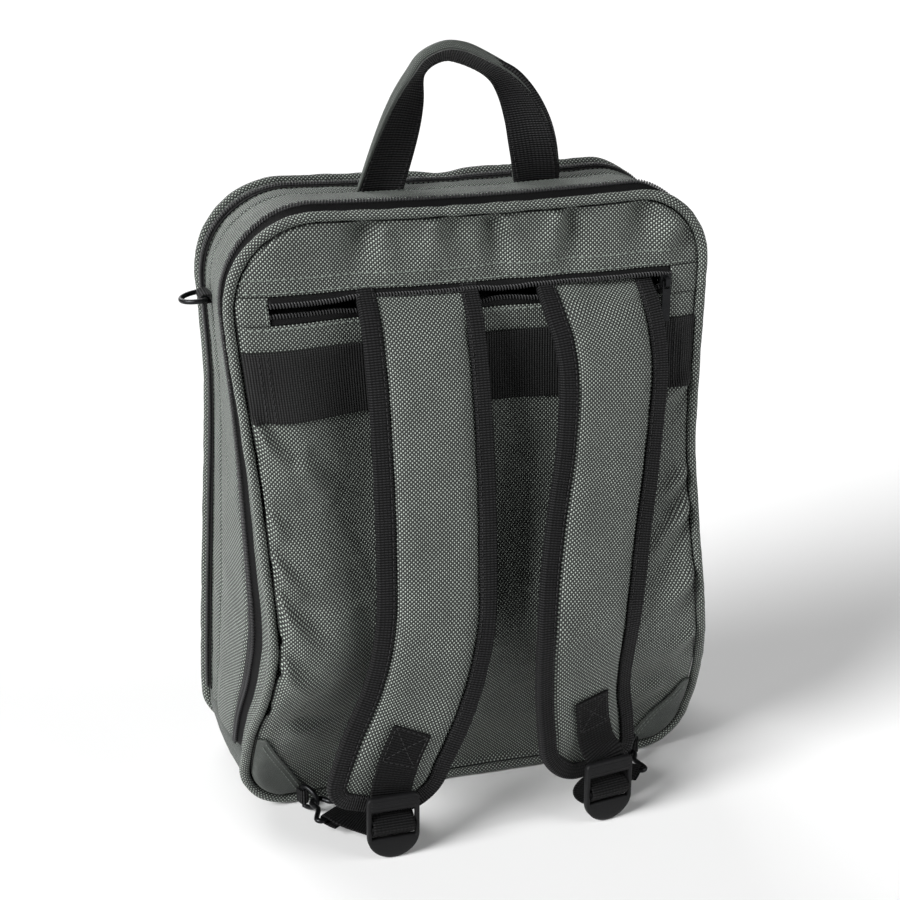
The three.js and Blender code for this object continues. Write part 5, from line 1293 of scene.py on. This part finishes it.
for name, side in (("left", -1), ("right", 1)):
    foot = WING_LOW + (1 - np.cos(np.linspace(0, math.pi / 2, 8))) * 4
    z = np.concatenate([foot, np.linspace(WING_LOW + 6, WING_HIGH, 30)])
    seam_x = panel_edge(side, z, PANEL_INSET + GAP)
    t = np.array([0, 0.02, 0.06, 0.15, 0.3, 0.45, 0.6, 0.75, 0.88, 0.95, 0.985, 1])
    x = seam_x[:, None] + (wing_edge(side, z) - seam_x)[:, None] * t[None]
    rows = np.repeat(z[:, None], len(t), 1)
    soft = 0.35 * np.minimum(1, np.minimum(t, 1 - t) * 12)[None] + soft_noise(x, rows, 12, 95) * 0.25
    outer, inner = back_face(x, rows), back_face(x, rows)
    outer[..., 1] -= GAP * 2 + WING_THICK - 0.5 + soft
    inner[..., 1] -= GAP * 2
    dress(two_faced(f"wing_{name}_cloth", outer, inner, x, rows, fine_cloth), [f"wing_{name}"], "fine_nylon")
    stitch_z = np.linspace(WING_LOW + 2, WING_HIGH - 3, 40)
    for inset in (2.0, 5.0):
        face_row(green_seams, wing_edge(side, stitch_z) + side * inset, stitch_z, near=GAP * 2 + WING_THICK)
print("corner wings are", WING_HIGH - WING_LOW, "mm tall")

# %% [markdown]
# The carrying handle is a strip of body cloth lined with webbing. Carried often, it has creased
# along its middle and twisted towards the wearer. A table gives both of its edges from foot to foot.
# The cloth curls up over the webbing on the near leg, and the webbing folds round it on the other.

# %% Handle
HANDLE_SPAN, HANDLE_RISE, HANDLE_WIDTH, HANDLE_LENGTH = 127.0, 87.5, 28.0, 210.0
HANDLE_FABRIC, HANDLE_LINING, HANDLE_START, HANDLE_CREASE = 2.4, 1.4, -53.5, 2.2
HANDLE = {
    "x": (0, 0.094, 0.172, 0.213, 0.274, 0.39, 0.48, 0.606, 0.719, 0.802, 0.865, 0.912, 0.958, 1),
    "z": (0, 0.355, 0.65, 0.795, 0.933, 1, 0.979, 0.888, 0.773, 0.632, 0.474, 0.321, 0.14, 0),
    "y": (0, -0.14, -0.32, -0.54, -0.64, -0.64, -0.64, -0.64, -0.64, -0.61, -0.57, -0.46, -0.25, 0),
    "in_x": (0.229, 0.285, 0.328, 0.346, 0.387, 0.443, 0.5, 0.615, 0.673, 0.713, 0.744, 0.758, 0.769, 0.761),
    "in_z": (0, 0.327, 0.585, 0.758, 0.818, 0.844, 0.832, 0.759, 0.694, 0.585, 0.433, 0.287, 0.131, 0),
    "in_y": (0, 0.07, 0.21, 0.29, 0.25, 0.25, 0.25, 0.25, 0.18, 0.11, 0.04, 0, 0, 0),
}

def handle_edge(x, z, y):
    across = HANDLE_START + HANDLE_SPAN * np.array(x)
    foot = settled(across, HANDLE_SEAM_Y, HEIGHT - GUSSET_RECESS)[:, 2] + GAP
    edge = np.stack([across, HANDLE_SEAM_Y + HANDLE_WIDTH * np.array(y), foot + HANDLE_RISE * np.array(z)], 1)
    return smooth_curve(edge, 12)

outer_edge = handle_edge(HANDLE["x"], HANDLE["z"], HANDLE["y"])
inner_edge = handle_edge(HANDLE["in_x"], HANDLE["in_z"], HANDLE["in_y"])
along = unit(np.gradient(outer_edge, axis=0) + np.gradient(inner_edge, axis=0))
handle_out = unit(np.cross(along, outer_edge - inner_edge))
span = unit(outer_edge - inner_edge)
handle_middle = (outer_edge + inner_edge) / 2
handle_run = np.linspace(0, 1, len(along))[:, None]
grip = np.sin(np.pi * handle_run)

def handle_at(q, h):
    """Points across the handle by q, from -1 to 1, and out of its outer cloth by h."""
    sag = HANDLE_CREASE * (1 - 0.5 * grip) * (1 - np.abs(q) ** 1.3)
    return (handle_middle[:, None] + span[:, None] * (q * HANDLE_WIDTH / 2)[..., None]
            + handle_out[:, None] * (h - sag)[..., None])

def handle_dents(q, seed):
    return soft_noise(handle_run * HANDLE_LENGTH, q * 12, 15, seed) * 0.35

def handle_webbing():
    """The webbing inside the handle. Over its right half, its edge folds round the cloth's."""
    near, far, roll = HANDLE_LINING + GAP / 2, GAP / 2, 0.4
    half = np.array([0.2, 0.4, 0.6, 0.8, 0.94, 0.985, 1])
    q = np.concatenate([-half[::-1], [0], half])[None] + 0 * grip
    edge = np.abs(q) > 0.95
    top = handle_at(q, np.where(edge, near - roll, near) + handle_dents(q, 101))
    low = handle_at(q, np.where(edge, far + roll, far))
    wrap = ramp(handle_run, 0.46, 0.62)
    edge_q = 1 + wrap * np.array([0.004, 0.022, 0.038])[None]
    edge_h = far + roll * (1 - wrap) - wrap * np.array([0.0, 2.6, 3.0])[None]
    low[:, -3:] = handle_at(edge_q, edge_h)
    top[:, -1:] = handle_at(1 + 0.045 * wrap, near - roll - 0.3 * wrap)
    return loft("handle_lining_webbing", np.concatenate([top, low[:, ::-1]], 1), webbing, caps="pairs")

dress(handle_webbing(), ["handle_webbing"], "black_webbing")
HANDLE_CURL = {
    "across": (1.004, 1.0, 1.0, 1.0, 1.0, 1.005, 1.005, 1.005, 1.01, 1.015, 1.01),
    "of_lip": (0, 0, -0.5, -1, -1, -0.9, -0.4, 0.05, 0.15, 0.18, 0.12),
    "out": (0.6, 1.75, 1.85, 1.85, 2.55, 2.8, 2.85, 2.7, 1.9, 0.5, -1.0),
}

def handle_cloth():
    """The cloth under the webbing, whose outer edge curls up over it, widest over the near leg."""
    across = np.array([-1, -0.985, -0.94, -0.8, -0.6, -0.4, -0.2, 0, 0.2, 0.4, 0.6, 0.8, 0.94, 1])
    lip = 0.02 + 0.3 * bump((handle_run - 0.31) / 0.24)
    back = -GAP / 2 - HANDLE_FABRIC
    inside = [(q, 0.0, -GAP / 2 - (0.6 if q == -1 else 0.0)) for q in across]
    under = [(q, 0.0, back + (0.6 if abs(q) == 1 else 0.0)) for q in across[::-1]]
    section = np.array(inside + list(zip(*HANDLE_CURL.values())) + under)
    q, h = section[None, :, 0] + section[None, :, 1] * lip, section[None, :, 2]
    dents = np.where((h < -1) | (h > 1.9), handle_dents(q, 103), 0.0)
    curled = np.where(h > 0, h * (0.3 + 0.7 * np.minimum(1, lip / 0.2)), h)
    return loft("handle_cloth", handle_at(q, curled + dents), fine_cloth)

dress(handle_cloth(), ["handle_fabric"], "nylon")
for q in (-0.82, 0.82):
    black_seams.row(handle_at(q + 0 * grip, HANDLE_LINING + GAP / 2 + 0.1)[:, 0], handle_out)
print("handle stands", round(float(outer_edge[:, 2].max())), "mm above the floor")

# %% [markdown]
# A D-shaped ring hangs on a webbing loop in each side seam, for a long shoulder strap.

# %% Side rings
SIDE_RING_HEIGHT, SIDE_RING_DROOP, SIDE_LOOP_WIDTH = 312.0, 0.12, 16.0
SIDE_RING_HALF, SIDE_RING_REACH = 10.0, 12.0
r = RING_WIRE + GAP + WEBBING / 2
bar_at = 2.5 + r
loop = [(0.9, r * 0.8), (bar_at, r), (bar_at + r * 0.75, r * 0.7), (bar_at + r, 0),
        (bar_at + r * 0.75, -r * 0.7), (bar_at, -r), (0.9, -r * 0.8)]
turn = np.linspace(math.pi / 2, -math.pi / 2, 33)[1:-1]
flat = [(bar_at, y) for y in np.linspace(-SIDE_RING_HALF, SIDE_RING_HALF, 13)]
flat += [(bar_at + 1 + SIDE_RING_REACH * math.cos(v), SIDE_RING_HALF * math.sin(v)) for v in turn]
for name, side in (("left", -1), ("right", 1)):
    wall = settled(side * (WIDTH / 2 - GUSSET_RECESS), HANDLE_SEAM_Y, SIDE_RING_HEIGHT)
    spot = lambda out, y, z: wall + np.array([side * out, y, z])
    path = [spot(o, 0, z) for o, z in loop]
    woven = ribbon(f"side_loop_{name}_webbing", path, [(0.0, 1.0, 0.0)] * len(loop), SIDE_LOOP_WIDTH)
    dress(woven, [f"side_loop_{name}"], "black_webbing")
    ring = [spot(o, y, -(o - bar_at) * SIDE_RING_DROOP) for o, y in flat]
    wire = tube(f"side_ring_{name}_wire", ring, RING_WIRE, gunmetal, (side * SIDE_RING_DROOP, 0, 1), 14,
                closed=True)
    dress(wire, [f"side_ring_{name}"], "gunmetal")
print("side rings hang", SIDE_RING_HEIGHT, "mm above the floor")

# %% [markdown]
# The sliders and the puller are hard and their solids already have the right shape, so they stay.
# A small bevel rounds their edges and they take the gunmetal finish.

# %% Sliders and puller
for node in ("pocket_slider", "pocket_puller", "back_zip_slider", "front_zip_slider"):
    solid = frame["nodes"][node]
    solid.data.materials.clear()
    solid.data.materials.append(gunmetal)
    edge = solid.modifiers.new("rounded edges", "BEVEL")
    edge.width = 0.25 * MM
    edge.segments = 3
    edge.limit_method = "ANGLE"
    edge.harden_normals = True
    print(node, "keeps its solid")

# %% [markdown]
# Fine rows of stitches run beside the gusset's seams. Then the rows of each thread become one mesh,
# because thousands of separate stitches would be slow to handle.

# %% More rows of stitching
s_points = UPPER[::2]
for y in (FRONT_ZIP_Y - HALF_TAPE - 1.8, HANDLE_SEAM_Y - 2.5, FRONT_ZIP_Y + HALF_TAPE + 1.6):
    line = run(s_points, np.full((len(s_points), 1), 0.75), y)[:, 0]
    above = run(s_points, np.full((len(s_points), 1), 1.75), y)[:, 0]
    green_seams.row(line, above - line, length=2.2, wide=0.22, high=0.16)
green_seams.make()
black_seams.make()

# %% [markdown]
# A pale floor and a plain studio: a strong even light low on the left, weaker ones on the right and
# from behind, and a dim pale surround. Faces turned to the left are bright, and the panel between the
# straps is dark. Each light is a broad sun, because a sun lights the bag alike wherever it stands.

# %% Floor, light and surround
FLOOR_HALF, SURROUND = 80, 0.07
SUNS = {
    "left": {"where": (-1.75, -0.62, 1.05), "strength": 5.2, "spread": 30},
    "right": {"where": (1.5, -1.0, 1.0), "strength": 1.3, "spread": 40},
    "behind": {"where": (-0.4, 1.6, 1.1), "strength": 1.6, "spread": 40},
}

def sheet_of_floor():
    mesh = bpy.data.meshes.new("floor")
    far = FLOOR_HALF
    mesh.from_pydata([(-far, -far, 0), (far, -far, 0), (far, far, 0), (-far, far, 0)], [], [(0, 1, 2, 3)])
    floor = bpy.data.objects.new("floor", mesh)
    bpy.context.scene.collection.objects.link(floor)
    paint = Finish("pale_floor", (0.86, 0.86, 0.86), 0.7, specular=0.2)
    where, _, _ = paint.place("Object")
    mottled = paint.mix(paint.noise(where, 3.0), (0.83, 0.83, 0.83), (0.85, 0.85, 0.85))
    paint.put(paint.shader.inputs["Base Color"], mottled)
    mesh.materials.append(paint.material)

def soft_sun(name, where, strength, spread):
    """An even light from one direction, soft because it spans a wide angle."""
    light = bpy.data.lights.new(name, "SUN")
    light.energy = strength
    light.angle = math.radians(spread)
    lamp = bpy.data.objects.new(name, light)
    bpy.context.scene.collection.objects.link(lamp)
    lamp.location = where
    lamp.rotation_euler = Vector(where).to_track_quat("Z", "Y").to_euler()

sheet_of_floor()
for name, sun in SUNS.items():
    soft_sun(name, **sun)
world = bpy.data.worlds.new("surround")
bpy.context.scene.world = world
world.use_nodes = True
world.node_tree.nodes["Background"].inputs["Color"].default_value = (1, 1, 1, 1)
world.node_tree.nodes["Background"].inputs["Strength"].default_value = SURROUND
bpy.context.scene.view_settings.view_transform = "Standard"
print("lights:", len(SUNS))

# %% [markdown]
# Last, the view layer is brought up to date.

# %% Finish
bpy.context.view_layer.update()
